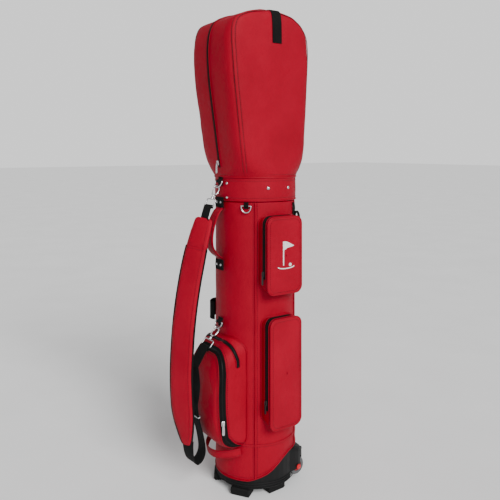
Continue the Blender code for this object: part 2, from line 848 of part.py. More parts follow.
def make_hook(label, anchor, angle, strap):
    """A swivel snap hook: hook, sprung gate, and swivel with its eye for the webbing."""

    def spot(along, across):
        y, z = chain_point(anchor, angle, along, across)
        return (0.0, y, z)

    bend = ((0.0060, -0.0078), (-0.0010, -0.0072), (-0.0042, 0.0), (-0.0010, 0.0072))
    bend += ((0.0070, 0.0088), (0.0160, 0.0072), (0.0205, 0.0030), (0.0230, 0.0), (0.0256, 0.0))
    path = [spot(point.x, point.y) for point in smooth_path(bend, 3)]
    wire(f"snap_hook_{label}", path, HOOK_WIRE_R, STEEL, strap)
    pivot_spot = spot(0.0215, -0.0052)
    gate_axis = empty(f"gate_{label}_axis", pivot_spot, strap)
    tip = Vector(spot(0.0098, -0.0078)) - Vector(pivot_spot)
    wire(f"snap_gate_{label}", [(0.0, 0.0, 0.0), tuple(tip)], 0.0013, STEEL, gate_axis)
    barrel_spot = spot(0.0300, 0.0)
    direction = Vector(spot(1.0, 0.0)) - Vector(spot(0.0, 0.0))
    upright = direction.to_track_quat("Z", "Y").to_euler()
    eye = []
    corners = ((0.0335, -1), (0.0335, 1), (0.0520, 1), (0.0520, -1))
    for along, side in corners:
        y, z = chain_point(anchor, angle, along, 0.0)
        eye.append((side * EYE_HALF, y, z))
    loop = curve_to_mesh(wire(f"swivel_eye_{label}", eye, 0.0015, STEEL, strap, True))
    barrel = cylinder(f"swivel_barrel_{label}", 0.0040, 0.0066, STEEL, strap, barrel_spot, upright, 16)
    boolean(loop, as_cutter(barrel), "UNION")
    return chain_point(anchor, angle, 0.0520, 0.0)


def make_strap():
    strap = empty("strap_axis", (0.0, RING_Y, 0.6), bag)
    holder = empty("strap_pieces", (0.0, -RING_Y, -0.6), strap)
    top_eye = make_hook("top", (RING_Y, RING_TOP_Z), TOP_HOOK_ANGLE, holder)
    low_eye = make_hook("low", (RING_Y, RING_LOW_Z), LOW_HOOK_ANGLE, holder)
    make_pad(holder)
    turn_r = 0.0015 + GAP + WEBBING_THICK / 2
    start = Vector(PAD_PATH[0])
    top_path = [start + Vector((0.0004, 0.0016))]
    top_path += hairpin(top_eye, turn_r, math.radians(-114), 0.006)
    strip("strap_webbing_top", top_path, WEBBING_HALF, WEBBING_THICK, WEBBING, holder)
    end = Vector(PAD_PATH[-1])
    slack = (
        (end.x + 0.0035, end.y - 0.009),
        (-0.2010, 0.108),
        (-0.1900, 0.092),
        (-0.1740, 0.098),
        (-0.1660, 0.120),
        (-0.1720, 0.160),
        (-0.1850, 0.210),
        (-0.1905, 0.270),
        (-0.1890, 0.335),
    )
    low_path = smooth_path(slack, 3)
    low_path += hairpin(low_eye, turn_r, math.radians(-128), 0.010)
    strip("strap_webbing_low", low_path, WEBBING_HALF, WEBBING_THICK, WEBBING, holder)
    make_adjuster(holder)


def make_adjuster(parent):
    """The metal slide that sets the strap's length, a frame round the lower webbing."""
    half = WEBBING_HALF + 0.0030
    deep = WEBBING_THICK / 2 + 0.0030
    frame = ((-half, -deep, 0), (half, -deep, 0), (half, deep, 0), (-half, deep, 0))
    wire("strap_adjuster", frame, 0.0013, STEEL, parent, True, ADJUSTER, (ADJUSTER_LEAN, 0, 0))


def hairpin(eye, radius, angle, run):
    """Webbing that goes up to a bar, round it and back beside itself."""
    along = Vector((math.cos(angle), math.sin(angle)))
    side = Vector((-along.y, along.x))
    centre = Vector(eye)
    made = [centre - side * radius + along * run]
    for step in range(7):
        turn = math.pi * step / 6
        made.append(centre - side * radius * math.cos(turn) - along * radius * math.sin(turn))
    made.append(centre + side * radius + along * run)
    return made


def make_pad(parent):
    """The padded part of the strap, a long cushion turned a little towards the bag's right."""
    path = smooth_path(PAD_PATH, 3)
    rings = []
    last = len(path) - 1
    side = Vector((math.cos(PAD_TWIST), math.sin(PAD_TWIST), 0.0))
    for i, point in enumerate(path):
        along2 = path[min(i + 1, last)] - path[max(i - 1, 0)]
        along = Vector((0.0, along2.x, along2.y)).normalized()
        across = (side - along * side.dot(along)).normalized()
        normal = along.cross(across)
        share = i / last
        top = math.sin(min(share / PAD_TOP_SHARE, 1.0) * math.pi / 2)
        foot = math.sin(min((1 - share) / PAD_FOOT_SHARE, 1.0) * math.pi / 2)
        width = PAD_WIDTH * (0.78 + 0.22 * top) * (0.42 + 0.58 * foot)
        thick = PAD_THICK * (0.45 + 0.55 * top) * (0.45 + 0.55 * foot)
        ring = []
        for step in range(12):
            angle = 2 * math.pi * step / 12
            out = abs(math.cos(angle)) ** 0.55 * math.copysign(width / 2, math.cos(angle))
            up = abs(math.sin(angle)) ** 0.8 * math.copysign(thick / 2, math.sin(angle))
            ring.append(Vector((0.0, point.x, point.y)) + across * out + normal * up)
        rings.append(ring)
    return loft("shoulder_pad", rings, RED, parent)


def hood_point(level, degrees):
    """A point of the hood's outside at a section number and an angle round it."""
    numbered = [(i, *row) for i, row in enumerate(HOOD_SECTIONS)]
    _, height, half, front, back, square = between(numbered, level)
    angle = math.radians(degrees)
    cosine, sine = math.cos(angle), math.sin(angle)
    middle = (front + back) / 2
    x = half * math.copysign(abs(cosine) ** square, cosine)
    y = middle + (back - front) / 2 * math.copysign(abs(sine) ** square, sine)
    return Vector((x, y, height))


def make_hood():
    hood = empty("hood_axis", (0.0, 0.0, 0.0), bag)
    rings = []
    for level in range(len(HOOD_SECTIONS)):
        rings.append([hood_point(level, 360 * (i + 0.5) / HOOD_SIDES) for i in range(HOOD_SIDES)])
    shell = loft("hood_shell", rings, RED, hood, closed_start=False)
    wall = shell.modifiers.new("wall", "SOLIDIFY")
    wall.thickness = HOOD_WALL
    wall.offset = -1
    last = len(HOOD_SECTIONS) - 1
    front = [hood_point(1 + (last - 1) * i / 24, -90) for i in range(25)]
    lifted = outwards([(p.y, p.z) for p in front], 0.0016)
    strip("hood_zip", lifted, 0.006, ZIP_THICK, ZIP, hood)
    right = [hood_point(TAB_LEVEL + (last - TAB_LEVEL) * i / 10, 0) for i in range(11)]
    over = [(p.x, p.z) for p in right]
    over += [(-x, z) for x, z in reversed(over)]
    lifted = outwards(over, -TAB_CLEAR)
    strip("hood_top_strap", lifted, TAB_HALF, 0.0016, WEBBING, hood, (0, TAB_Y, 0), IN_XZ)
    foot = hood_point(ZIP_FOOT_LEVEL, -90)
    above = hood_point(ZIP_FOOT_LEVEL + 0.5, -90)
    lean = math.atan2(foot.y - above.y, above.z - foot.z)
    make_slider("hood_zip", hood, (0.0, foot.y - 0.0030, foot.z), (lean, 0, 0), True)


def outwards(path, distance):
    flat = [Vector(point) for point in path]
    return [p + n * distance for p, n in zip(flat, normals_of(flat))]


def make_towel_ring():
    degrees = -47.0
    turn = math.radians(degrees + 90)
    spot = on_tube(degrees, 0.7385, 0.0050)
    pivot = empty("towel_ring_axis", spot, bag)
    pivot.rotation_euler = (0, 0, turn)
    make_d_ring("towel_ring", pivot, (0, 0, 0), 0.0, 0.0125, 0.0170)
    bar_r = WIRE_R + GAP + 0.0008
    path = [(0.0030, 0.0085), (0.0030, 0.0040)]
    path += [(bar_r * math.cos(a), bar_r * math.sin(a)) for a in half_turn()]
    path += [(0.0030, -0.0040), (0.0030, -0.0075)]
    strip("towel_ring_tab", path, 0.0060, 0.0016, WEBBING, pivot)


tube = tube_cutter()
make_base()
make_wheels()
make_tube()
make_box_pocket("upper_pocket", UPPER_POCKET, -1)
make_box_pocket("lower_pocket", LOWER_POCKET, -1)
make_box_pocket("apparel_pocket", APPAREL_POCKET, 1)
make_ball_pocket()
make_handle()
make_front_loops()
make_ring_tabs()
make_strap()
make_hood()
make_towel_ring()
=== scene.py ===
import math

import bpy
import numpy as np
from mathutils import Matrix, Vector, noise


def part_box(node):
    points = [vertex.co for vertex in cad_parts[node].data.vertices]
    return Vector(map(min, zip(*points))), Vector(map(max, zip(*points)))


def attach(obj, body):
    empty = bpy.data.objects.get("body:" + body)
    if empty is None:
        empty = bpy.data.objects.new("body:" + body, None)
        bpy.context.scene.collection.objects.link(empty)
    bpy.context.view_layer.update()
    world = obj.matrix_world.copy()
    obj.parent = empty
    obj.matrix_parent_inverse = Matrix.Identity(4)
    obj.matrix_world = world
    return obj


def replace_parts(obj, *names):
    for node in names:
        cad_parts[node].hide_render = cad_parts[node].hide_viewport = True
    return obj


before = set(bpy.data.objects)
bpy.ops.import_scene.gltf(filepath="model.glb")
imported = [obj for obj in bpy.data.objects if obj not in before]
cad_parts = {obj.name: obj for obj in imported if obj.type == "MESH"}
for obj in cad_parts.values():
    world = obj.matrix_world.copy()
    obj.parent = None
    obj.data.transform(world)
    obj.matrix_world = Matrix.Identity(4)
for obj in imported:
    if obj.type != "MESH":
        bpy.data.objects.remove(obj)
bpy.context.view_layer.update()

# Points are worked out about the tube's own axis; SHIFT takes them to the frame.
AXIS_Y = 0.062
SHIFT = np.array([0.0, AXIS_Y, 0.0])
TUBE_R = 0.107
TUBE_TOP = 0.748
WALL = 0.0018
ACROSS = np.array([1.0, 0, 0])
UP = np.array([0, 0, 1.0])
FORWARD = np.array([0.0, -1.0, 0.0])
SIDES = (("a", 1), ("b", -1))
QUARTER = math.radians(90)


# ---------------------------------------------------------------- curves and frames
def unit(v):
    return v / np.maximum(np.linalg.norm(v, axis=-1, keepdims=True), 1e-12)


def full_turn(count, whole=360):
    return np.linspace(0, whole, count, endpoint=False)


def cubic(a, b, c, d, t):
    """A Catmull-Rom curve from b to c, at a share t of the way."""
    return 0.5 * (2 * b + (c - a) * t + (2 * a - 5 * b + 4 * c - d) * t**2 + (3 * b - a - 3 * c + d) * t**3)


def catmull(points, per):
    """A smooth line through the points, with this many steps for each gap."""
    p = np.asarray(points, float)
    p = np.vstack([2 * p[0] - p[1], p, 2 * p[-1] - p[-2]])
    out = [cubic(*p[i : i + 4], k / per) for i in range(len(p) - 3) for k in range(per)]
    return np.array(out + [p[-2]])


def evened(path, step, closed=False):
    """The same line with its points at equal distances."""
    p = np.asarray(path, float)
    if closed:
        p = np.vstack([p, p[:1]])
    run = np.concatenate([[0], np.cumsum(np.linalg.norm(np.diff(p[:, :3], axis=0), axis=1))])
    count = max(int(round(run[-1] / step)), 2)
    at = np.linspace(0, run[-1], count + 1)
    if closed:
        at = at[:-1]
    return np.stack([np.interp(at, run, p[:, k]) for k in range(p.shape[1])], axis=1)


def tangents(path, closed=False):
    if closed:
        return unit(np.roll(path, -1, 0) - np.roll(path, 1, 0))
    return unit(np.gradient(path, axis=0))


def carried(path, closed, first):
    """Normals along a line that turn as little as they can."""
    t = tangents(path, closed)
    n = np.array(first if first is not None else (0.0, 0.0, 1.0), float)
    if abs(np.dot(n, t[0])) > 0.95:
        n = np.array([1.0, 0.0, 0.0])
    out = []
    for d in t:
        n = n - d * np.dot(n, d)
        n = n / np.linalg.norm(n)
        out.append(n)
    return np.array(out)


def square_to(t, normals):
    """The normals with what lies along t taken out."""
    return unit(normals - t * np.sum(normals * t, axis=1, keepdims=True))


def away_from(normals, line, middle):
    """The normals, turned round where they point at the middle."""
    return normals * np.where(np.sum(normals * (line - middle), axis=-1, keepdims=True) < 0, -1, 1)


def frontward(normals):
    return normals * np.where(normals[:, 1:2] > 0, -1, 1)


def smoothed(normals, own_share, times):
    for _ in range(times):
        normals[1:-1] = unit(normals[:-2] + own_share * normals[1:-1] + normals[2:])
    return normals


def beside(path, normals, distance):
    return path + np.cross(tangents(path), normals) * distance


def repeated(vector, count):
    return np.repeat(np.asarray(vector, float)[None], count, 0)


def upright(points):
    """Points (y, z) set in the upright plane through the axis."""
    return np.array([(0.0, y, z) for y, z in points])


def table_row(table, at):
    """Rows of a table at fractional row numbers, on a smooth curve through its rows."""
    t = np.asarray(table, float)
    at = np.clip(np.asarray(at, float), 0, len(t) - 1)
    i = np.clip(np.floor(at).astype(int), 0, len(t) - 2)
    p = np.vstack([2 * t[0] - t[1], t, 2 * t[-1] - t[-2]])
    return cubic(p[i], p[i + 1], p[i + 2], p[i + 3], (at - i)[..., None])


def about_z(points, degrees):
    c, s = math.cos(math.radians(degrees)), math.sin(math.radians(degrees))
    x, y = points[..., 0] * c - points[..., 1] * s, points[..., 0] * s + points[..., 1] * c
    return np.stack([x, y, points[..., 2]], -1)


def turned_path(path, axis, angle):
    return path @ np.array(Matrix.Rotation(angle, 3, axis)).T


def spin(angle, axis):
    return Matrix.Rotation(angle, 4, axis)


def moved_to(x, y, z):
    return Matrix.Translation((x, y, z))


def box_middle(node_name):
    low, high = (np.array(c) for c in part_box(node_name))
    return Vector((low + high) / 2)


def box_top(node_name, drop=0.0):
    middle = box_middle(node_name)
    return Vector((middle.x, middle.y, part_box(node_name)[1][2] - drop))


# ---------------------------------------------------------------- meshes
def stand_for(obj, node_name):
    """Puts a piece in the place of a CAD node, whose own mesh is hidden."""
    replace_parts(obj, node_name)


def linked(name, data, body=None):
    made = bpy.data.objects.new(name, data)
    bpy.context.scene.collection.objects.link(made)
    if body:
        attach(made, body)
    return made


def new_piece(name, verts, faces, uvs, mats, body, smooth, face_mats=None):
    data = bpy.data.meshes.new(name)
    data.from_pydata(np.asarray(verts).tolist(), [], faces)
    if uvs is not None:
        layer = data.uv_layers.new(name="metres")
        layer.data.foreach_set("uv", np.asarray(uvs, np.float32).ravel())
    for mat in mats if isinstance(mats, list) else [mats]:
        data.materials.append(mat)
    if face_mats is not None:
        data.polygons.foreach_set("material_index", face_mats)
    data.validate()
    data.shade_smooth()
    data.set_sharp_from_angle(angle=math.radians(smooth))
    return linked(name, data, body)


def volume_of(verts, quads):
    v = verts - verts.mean(axis=0)
    total = 0.0
    for a, b, c in ((0, 1, 2), (0, 2, 3)):
        total += np.einsum("ij,ij->", v[quads[:, a]], np.cross(v[quads[:, b]], v[quads[:, c]]))
    return total


def grid(name, points, mats, body, wrap_u=False, caps=False, flip=None, smooth=40, cols=None):
    """A surface through closed rows of points; cols gives a material number for each column of faces."""
    points = np.asarray(points, float)
    n, m, _ = points.shape
    verts = (points + SHIFT).reshape(-1, 3)
    rows = n if wrap_u else n - 1
    i, j = np.meshgrid(np.arange(rows), np.arange(m), indexing="ij")
    i2, j2 = (i + 1) % n, (j + 1) % m
    quads = np.stack([i * m + j, i2 * m + j, i2 * m + j2, i * m + j2], -1).reshape(-1, 4)
    closed_rows = np.concatenate([points, points[:1]]) if wrap_u else points
    closed_cols = np.concatenate([points, points[:, :1]], axis=1)
    run_u = np.linalg.norm(np.diff(closed_rows, axis=0), axis=2).mean(axis=1)
    run_v = np.linalg.norm(np.diff(closed_cols, axis=1), axis=2).mean(axis=0)
    u = np.concatenate([[0], np.cumsum(run_u)])
    v = np.concatenate([[0], np.cumsum(run_v)])
    around = ((j, i), (j, i + 1), (j + 1, i + 1), (j + 1, i))
    uv = np.stack([np.stack([v[b], u[a]], -1) for b, a in around], axis=2).reshape(-1, 4, 2)
    if flip is None:
        flip = volume_of(verts, quads) < 0
    if flip:
        quads = quads[:, ::-1]
        uv = uv[:, ::-1]
    faces = quads.tolist()
    uvs = uv.reshape(-1, 2)
    face_mats = None if cols is None else np.tile(np.asarray(cols), rows).tolist()
    if caps:
        start = list(range(m))
        end = [(n - 1) * m + k for k in range(m)]
        faces += [start[::-1], end] if flip else [start, end[::-1]]
        uvs = np.vstack([uvs, np.zeros((2 * m, 2))])
        if face_mats is not None:
            face_mats += [0, 0]
    return new_piece(name, verts, faces, uvs, mats, body, smooth, face_mats)


def sweep(name, path, normals, section, mats, body, closed=False, smooth=40):
    """A closed section of (across, out) points carried along a line."""
    t = tangents(path, closed)
    n = square_to(t, normals)
    b = np.cross(t, n)
    sec = np.asarray(section, float)
    if sec.ndim == 2:
        sec = np.repeat(sec[None], len(path), axis=0)
    points = path[:, None] + b[:, None] * sec[:, :, :1] + n[:, None] * sec[:, :, 1:]
    return grid(name, points, mats, body, wrap_u=closed, caps=not closed, smooth=smooth)


def cord(name, path, radius, mat, body, closed=False, sides=12, first=None, step=0.002):
    """A round wire or piping, drawn in a little at an open end."""
    path = evened(path, step, closed)
    a = full_turn(sides, 2 * math.pi)
    section = np.stack([radius * np.cos(a), radius * np.sin(a)], -1)
    sec = np.repeat(section[None], len(path), axis=0)
    if not closed:
        sec[0] *= 0.55
        sec[-1] *= 0.55
    return sweep(name, path, carried(path, closed, first), sec, mat, body, closed, smooth=60)


def band_section(width, thick, crown=0.0, under=0.0004):
    """Across a flat band with soft edges: (across, out) points, lying on out = 0."""
    half = width / 2
    edge = min(thick * 0.5, half * 0.4)
    steps = 8
    top = []
    for k in range(steps + 1):
        x = -half + edge + (width - 2 * edge) * k / steps
        top.append((x, thick + crown * (1 - (x / half) ** 2)))
    left = [(-half, 0.0), (-half, thick - edge * 0.7), (-half + edge * 0.35, thick - edge * 0.2)]
    right = [(-x, y) for x, y in reversed(left)]
    return left + top + right + [(half * 0.98, -under), (0.0, -under), (-half * 0.98, -under)]


def set_down(name, shape, origins, t, n, mat, body, smooth=50):
    """One small shape of verts and faces set down many times, in one mesh: x along t, z along n."""
    verts, faces = shape
    v = np.asarray(verts, float)[None]
    t = unit(t)
    n = square_to(t, n)
    b = np.cross(n, t)
    points = origins[:, None] + t[:, None] * v[:, :, :1] + b[:, None] * v[:, :, 1:2]
    points = points + n[:, None] * v[:, :, 2:]
    count = len(verts)
    made = [[i + k * count for i in face] for k in range(len(origins)) for face in faces]
    new_piece(name, (points + SHIFT).reshape(-1, 3), made, None, mat, body, smooth)


def ring_faces(rings, sides):
    """Quads between rings of points that follow one another."""
    faces = []
    for r in range(rings - 1):
        for s in range(sides):
            s2 = (s + 1) % sides
            faces.append([r * sides + s, r * sides + s2, (r + 1) * sides + s2, (r + 1) * sides + s])
    return faces


def stitch_shape(length, width, height):
    """A little rounded stitch that lies along x, with its underside sunk in."""
    spans = ((-0.5, 0.35, -0.7), (-0.32, 0.85, 0.1), (0.0, 1.0, 0.45), (0.32, 0.85, 0.1), (0.5, 0.35, -0.7))
    sides = 6
    verts = []
    for x, w, z in spans:
        for s in range(sides):
            a = 2 * math.pi * s / sides
            rise = z * height / 2 + w * height / 2 * math.sin(a)
            verts.append((x * length, w * width / 2 * math.cos(a), rise))
    ends = [list(range(sides))[::-1], [(len(spans) - 1) * sides + s for s in range(sides)]]
    return verts, ring_faces(len(spans), sides) + ends


def tooth_shape(lx, ly, lz, bevel):
    """A small chamfered block on z = 0."""
    verts = []
    for z, k in ((0.0, 1.0), (lz * (1 - bevel), 1.0), (lz, 1.0 - bevel)):
        for x, y in ((-1, -1), (1, -1), (1, 1), (-1, 1)):
            verts.append((x * lx / 2 * k, y * ly / 2 * k, z))
    return verts, ring_faces(3, 4) + [[3, 2, 1, 0], [8, 9, 10, 11]]


STITCH = stitch_shape(0.0033, 0.00085, 0.0007)
STITCH_LIFT = 0.0001


def stitches(name, path, normals, mat, body, pitch=0.0046, closed=False):
    """A sewn row on a line."""
    joined = evened(np.hstack([path, normals]), pitch, closed)
    p = joined[:, :3]
    t = tangents(p, closed)
    n = square_to(t, unit(joined[:, 3:]))
    set_down(name, STITCH, p + n * STITCH_LIFT, t, n, mat, body)


def stitch_pair(name, line, normals, distance, mat, body, labels=("a", "b"), **how):
    """Two sewn rows, one on each side of a line."""
    for label, sign in zip(labels, (1, -1)):
        stitches(f"{name}_{label}", beside(line, normals, sign * distance), normals, mat, body, **how)


def local_box(name, size, radius, mat, body, matrix, segments=3):
    """A rounded block, made at the origin and set in place by a matrix of the frame."""
    data = bpy.data.meshes.new(name)
    x, y, z = (s / 2 for s in size)
    v = [(-x, -y, -z), (x, -y, -z), (x, y, -z), (-x, y, -z), (-x, -y, z), (x, -y, z), (x, y, z), (-x, y, z)]
    f = [(3, 2, 1, 0), (4, 5, 6, 7), (0, 1, 5, 4), (1, 2, 6, 5), (2, 3, 7, 6), (3, 0, 4, 7)]
    data.from_pydata(v, [], f)
    data.materials.append(mat)
    data.transform(matrix)
    data.shade_smooth()
    made = linked(name, data)
    bevel = made.modifiers.new("edges", "BEVEL")
    bevel.width = radius
    bevel.segments = segments
    bevel.harden_normals = True
    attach(made, body)
    return made


def lathe(name, profile, mat, body, matrix, steps, smooth=35):
    """A profile of (radius, height) turned about z, then set in place. A closed profile makes a ring."""
    p = np.asarray(profile, float)
    ring = bool((p[0] == p[-1]).all())
    if ring:
        p = p[:-1]
    a = full_turn(steps, 2 * math.pi)
    points = np.stack([p[:, :1] * np.cos(a), p[:, :1] * np.sin(a), np.repeat(p[:, 1:], steps, 1)], -1)
    if ring:
        points = points.swapaxes(0, 1)
    made = grid(name, points - SHIFT, mat, None, wrap_u=ring, caps=not ring, smooth=smooth)
    made.data.transform(matrix)
    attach(made, body)
    return made


def crumpled(points, normals, amount, scale, seed, octaves=3):
    """The points pushed in and out by smooth noise."""
    flat = points.reshape(-1, 3)
    offset = Vector((seed, seed * 0.7, -seed))
    push = np.array([noise.fractal(Vector(p) * scale + offset, 0.9, 2.1, octaves) for p in flat])
    return points + normals * (amount * push.reshape(points.shape[:-1]))[..., None]


def grid_normals(points, middle):
    """Normals of a closed grid's points, facing away from a middle."""
    du = np.gradient(points, axis=0)
    dv = np.roll(points, -1, 1) - np.roll(points, 1, 1)
    n = unit(np.cross(du, dv))
    flip = np.sign(np.sum(n * (points - middle), axis=-1, keepdims=True))
    return n * np.where(flip == 0, 1, flip)


def surface_normal(surface, a, b, middle, da=0.02, db=0.5):
    ta = surface(a + da, b) - surface(a - da, b)
    tb = surface(a, b + db) - surface(a, b - db)
    return away_from(unit(np.cross(ta, tb)), surface(a, b), middle)


def turn_out(obj, middle, level=False):
    """Turns an open surface's faces away from a middle, or with level from the upright line through it."""
    data = obj.data
    centres = np.empty(len(data.polygons) * 3)
    normals = np.empty(len(data.polygons) * 3)
    data.polygons.foreach_get("center", centres)
    data.polygons.foreach_get("normal", normals)
    away = centres.reshape(-1, 3) - (np.asarray(middle) + SHIFT)
    if level:
        away[:, 2] = 0
    if np.einsum("ij,ij->", away, normals.reshape(-1, 3)) < 0:
        data.flip_normals()


def lined_skin(name, points, body):
    """A leather surface with a wall's thickness and a lining."""
    skin = grid(name, points, [LEATHER, LINING], body, flip=False)
    turn_out(skin, (0.0, 0.0, 0.0), level=True)
    wall = skin.modifiers.new("wall", "SOLIDIFY")
    wall.thickness = WALL
    wall.offset = -1
    wall.material_offset = 1
    return skin


# ---------------------------------------------------------------- materials
class Shader:
    """A new material, with short ways to add nodes to its tree."""

    def __init__(self, name):
        self.mat = bpy.data.materials.new(name)
        self.mat.use_nodes = True
        self.nodes = self.mat.node_tree.nodes
        self.links = self.mat.node_tree.links
        self.surface = self.nodes["Principled BSDF"]
        coords = self.add("TexCoord")
        self.where = coords.outputs["Object"]
        self.metres = coords.outputs["UV"]

    def add(self, kind, **values):
        made = self.nodes.new("ShaderNode" + kind)
        for key, value in values.items():
            if key in made.inputs:
                made.inputs[key].default_value = value
            else:
                setattr(made, key, value)
        return made

    def noise(self, scale, detail, roughness=0.5, where=None):
        made = self.add("TexNoise", Scale=scale, Detail=detail, Roughness=roughness)
        self.links.new(where or self.where, made.inputs["Vector"])
        return made

    def sum_of(self, operation, a, b):
        made = self.add("Math", operation=operation)
        for k, value in enumerate((a, b)):
            if isinstance(value, float):
                made.inputs[k].default_value = value
            else:
                self.links.new(value, made.inputs[k])
        return made.outputs[0]

    def times(self, source, factor):
        return self.sum_of("MULTIPLY", source, factor)

    def ramp(self, source, *stops):
        made = self.add("ValToRGB")
        self.links.new(source, made.inputs[0])
        while len(made.color_ramp.elements) < len(stops):
            made.color_ramp.elements.new(0.5)
        for element, (at, color) in zip(made.color_ramp.elements, stops):
            element.position = at
            element.color = (*color, 1) if isinstance(color, tuple) else (color, color, color, 1)
        return made.outputs[0]

    def finish(self, color, rough, height, strength, depth, **values):
        """Wires the surface's color, roughness and bump, and sets its constants."""
        bump = self.add("Bump", Strength=strength, Distance=depth)
        self.links.new(height, bump.inputs["Height"])
        self.links.new(bump.outputs["Normal"], self.surface.inputs["Normal"])
        self.links.new(color, self.surface.inputs["Base Color"])
        self.links.new(rough, self.surface.inputs["Roughness"])
        for key, value in values.items():
            self.surface.inputs[key.replace("_", " ")].default_value = value
        return self.mat


def tinted(color, factor):
    return tuple(min(c * factor, 1) for c in color)


def leather_material(name, light, dark, roughness=0.47, grain=900.0, depth=0.00022, coat=0.0):
    """Pebbled, faintly glossy artificial leather with a mottled dye and painted shade in the creases of its
    grain.
    """
    s = Shader(name)
    broad = s.noise(7.0, 4.0, 0.55).outputs["Fac"]
    fine = s.noise(160.0, 5.0, 0.6).outputs["Fac"]
    warp = s.noise(420.0, 2.0)
    mix = s.add("Mix", data_type="VECTOR", Factor=0.0012)
    s.links.new(s.where, mix.inputs[4])
    s.links.new(warp.outputs["Color"], mix.inputs[5])
    cells = s.add("TexVoronoi", Scale=grain, feature="DISTANCE_TO_EDGE")
    round_cells = s.add("TexVoronoi", Scale=grain, feature="SMOOTH_F1")
    for one in (cells, round_cells):
        s.links.new(mix.outputs[1], one.inputs["Vector"])
    crease = s.ramp(cells.outputs["Distance"], (0.0, 0.0), (0.16, 1.0))
    height = s.sum_of("SUBTRACT", crease, s.times(round_cells.outputs["Distance"], 0.6))
    height = s.sum_of("ADD", height, s.times(fine, 0.9))
    share = s.sum_of("ADD", s.times(broad, 0.75), s.times(fine, 0.25))
    # The crease mask darkens the colour between the pebbles: painted shade in the grain's creases,
    # multiplied over the mottled dye.
    shade = s.add("Mix", data_type="RGBA", blend_type="MULTIPLY", Factor=0.35)
    s.links.new(s.ramp(share, (0.34, dark), (0.66, light)), shade.inputs[6])
    s.links.new(crease, shade.inputs[7])
    rough = s.ramp(fine, (0.3, roughness - 0.06), (0.7, roughness + 0.09))
    gloss = {"Specular_IOR_Level": 0.09, "Coat_Weight": coat, "Coat_Roughness": 0.3}
    return s.finish(shade.outputs[2], rough, height, 0.55, depth, **gloss)


def woven_material(name, color, pitch, depth, roughness, sheen=0.25, across=2.2):
    """A woven band or cloth: over-and-under threads laid out in metres by the piece's own map, with painted
    shade in the gaps between them.
    """
    s = Shader(name)
    weave = s.add("TexBrick", Scale=1.0, offset=0.5)
    laid = {"Brick Width": pitch * across, "Row Height": pitch, "Mortar Size": pitch * 0.18}
    laid["Mortar Smooth"] = 1.0
    for key, value in laid.items():
        weave.inputs[key].default_value = value
    s.links.new(s.metres, weave.inputs["Vector"])
    fuzz = s.noise(900.0, 3.0).outputs["Fac"]
    broad = s.noise(30.0, 3.0).outputs["Fac"]
    height = s.sum_of("SUBTRACT", s.times(fuzz, 0.5), weave.outputs["Fac"])
    share = s.sum_of("ADD", s.times(broad, 0.6), s.times(fuzz, 0.4))
    # Darker where the weave mask marks the gaps between threads: painted shade in the weave's recesses.
    share = s.sum_of("SUBTRACT", share, s.times(weave.outputs["Fac"], 0.35))
    tint = s.ramp(share, (0.2, tinted(color, 0.45)), (0.42, color), (0.7, tinted(color, 1.7)))
    rough = s.ramp(fuzz, (0.3, roughness - 0.08), (0.7, min(roughness + 0.1, 1)))
    gloss = {"Specular_IOR_Level": 0.12, "Sheen_Weight": sheen, "Sheen_Roughness": 0.5}
    return s.finish(tint, rough, height, 0.8, depth, **gloss)


def metal_material(name, color, roughness):
    """Nickel plating with fine rubbed scratches and a little tarnish."""
    s = Shader(name)
    tarnish = s.noise(90.0, 5.0).outputs["Fac"]
    stretch = s.add("Mapping", Scale=(1.0, 1.0, 9.0))
    s.links.new(s.where, stretch.inputs["Vector"])
    scratch = s.noise(900.0, 6.0, 0.7, stretch.outputs[0]).outputs["Fac"]
    tint = s.ramp(tarnish, (0.35, tinted(color, 0.72)), (0.6, color))
    rough = s.ramp(scratch, (0.3, roughness * 0.7), (0.75, roughness * 1.8))
    return s.finish(tint, rough, scratch, 0.15, 0.00006, Metallic=1.0)


def moulded_material(name, color, roughness, grain=1400.0, depth=0.00012, wear=1.6, shine=0.18):
    """Moulded plastic or rubber with a spark-eroded grain, scuffs and a dusty cast."""
    s = Shader(name)
    pits = s.noise(grain, 2.0).outputs["Fac"]
    scuff = s.noise(45.0, 7.0, 0.68).outputs["Fac"]
    tint = s.ramp(scuff, (0.35, color), (0.62, tinted(color, 1.15)), (0.8, tinted(color, wear)))
    rough = s.ramp(scuff, (0.3, roughness), (0.75, min(roughness + 0.12, 1)))
    return s.finish(tint, rough, pits, 0.5, depth, Specular_IOR_Level=shine)


RED, RED_DARK = (0.380, 0.0008, 0.0185), (0.300, 0.0005, 0.0135)
PIPING_RED, PIPING_DARK = (0.34, 0.0009, 0.016), (0.27, 0.0006, 0.012)
LEATHER = leather_material("red_leather", RED, RED_DARK)
PIPING = leather_material("red_piping", PIPING_RED, PIPING_DARK, 0.42, 1500.0, 0.0001, 0.03)
THREAD = woven_material("red_thread", (0.055, 0.0006, 0.002), 0.0005, 0.00008, 0.6)
WEBBING = woven_material("black_webbing", (0.0046, 0.0046, 0.0045), 0.0017, 0.0003, 0.8, sheen=0.01)
TAPE = woven_material("zip_tape", (0.0040, 0.0036, 0.0036), 0.0009, 0.00014, 0.85, sheen=0.008, across=1.6)
TEETH = moulded_material("zip_coil", (0.0065, 0.006, 0.006), 0.38, depth=0.00005)
STEEL = metal_material("nickel_steel", (0.70, 0.70, 0.72), 0.22)
PLASTIC = moulded_material("black_plastic", (0.0050, 0.0050, 0.0052), 0.42)
BLACK_METAL = moulded_material("black_metal", (0.008, 0.008, 0.008), 0.30, depth=0.00004, shine=0.4)
RUBBER = moulded_material("foot_rubber", (0.0065, 0.0065, 0.0065), 0.78, grain=700.0, depth=0.0003)
TYRE = moulded_material("grey_tyre", (0.085, 0.085, 0.088), 0.74, grain=600.0, depth=0.00025, wear=1.5)
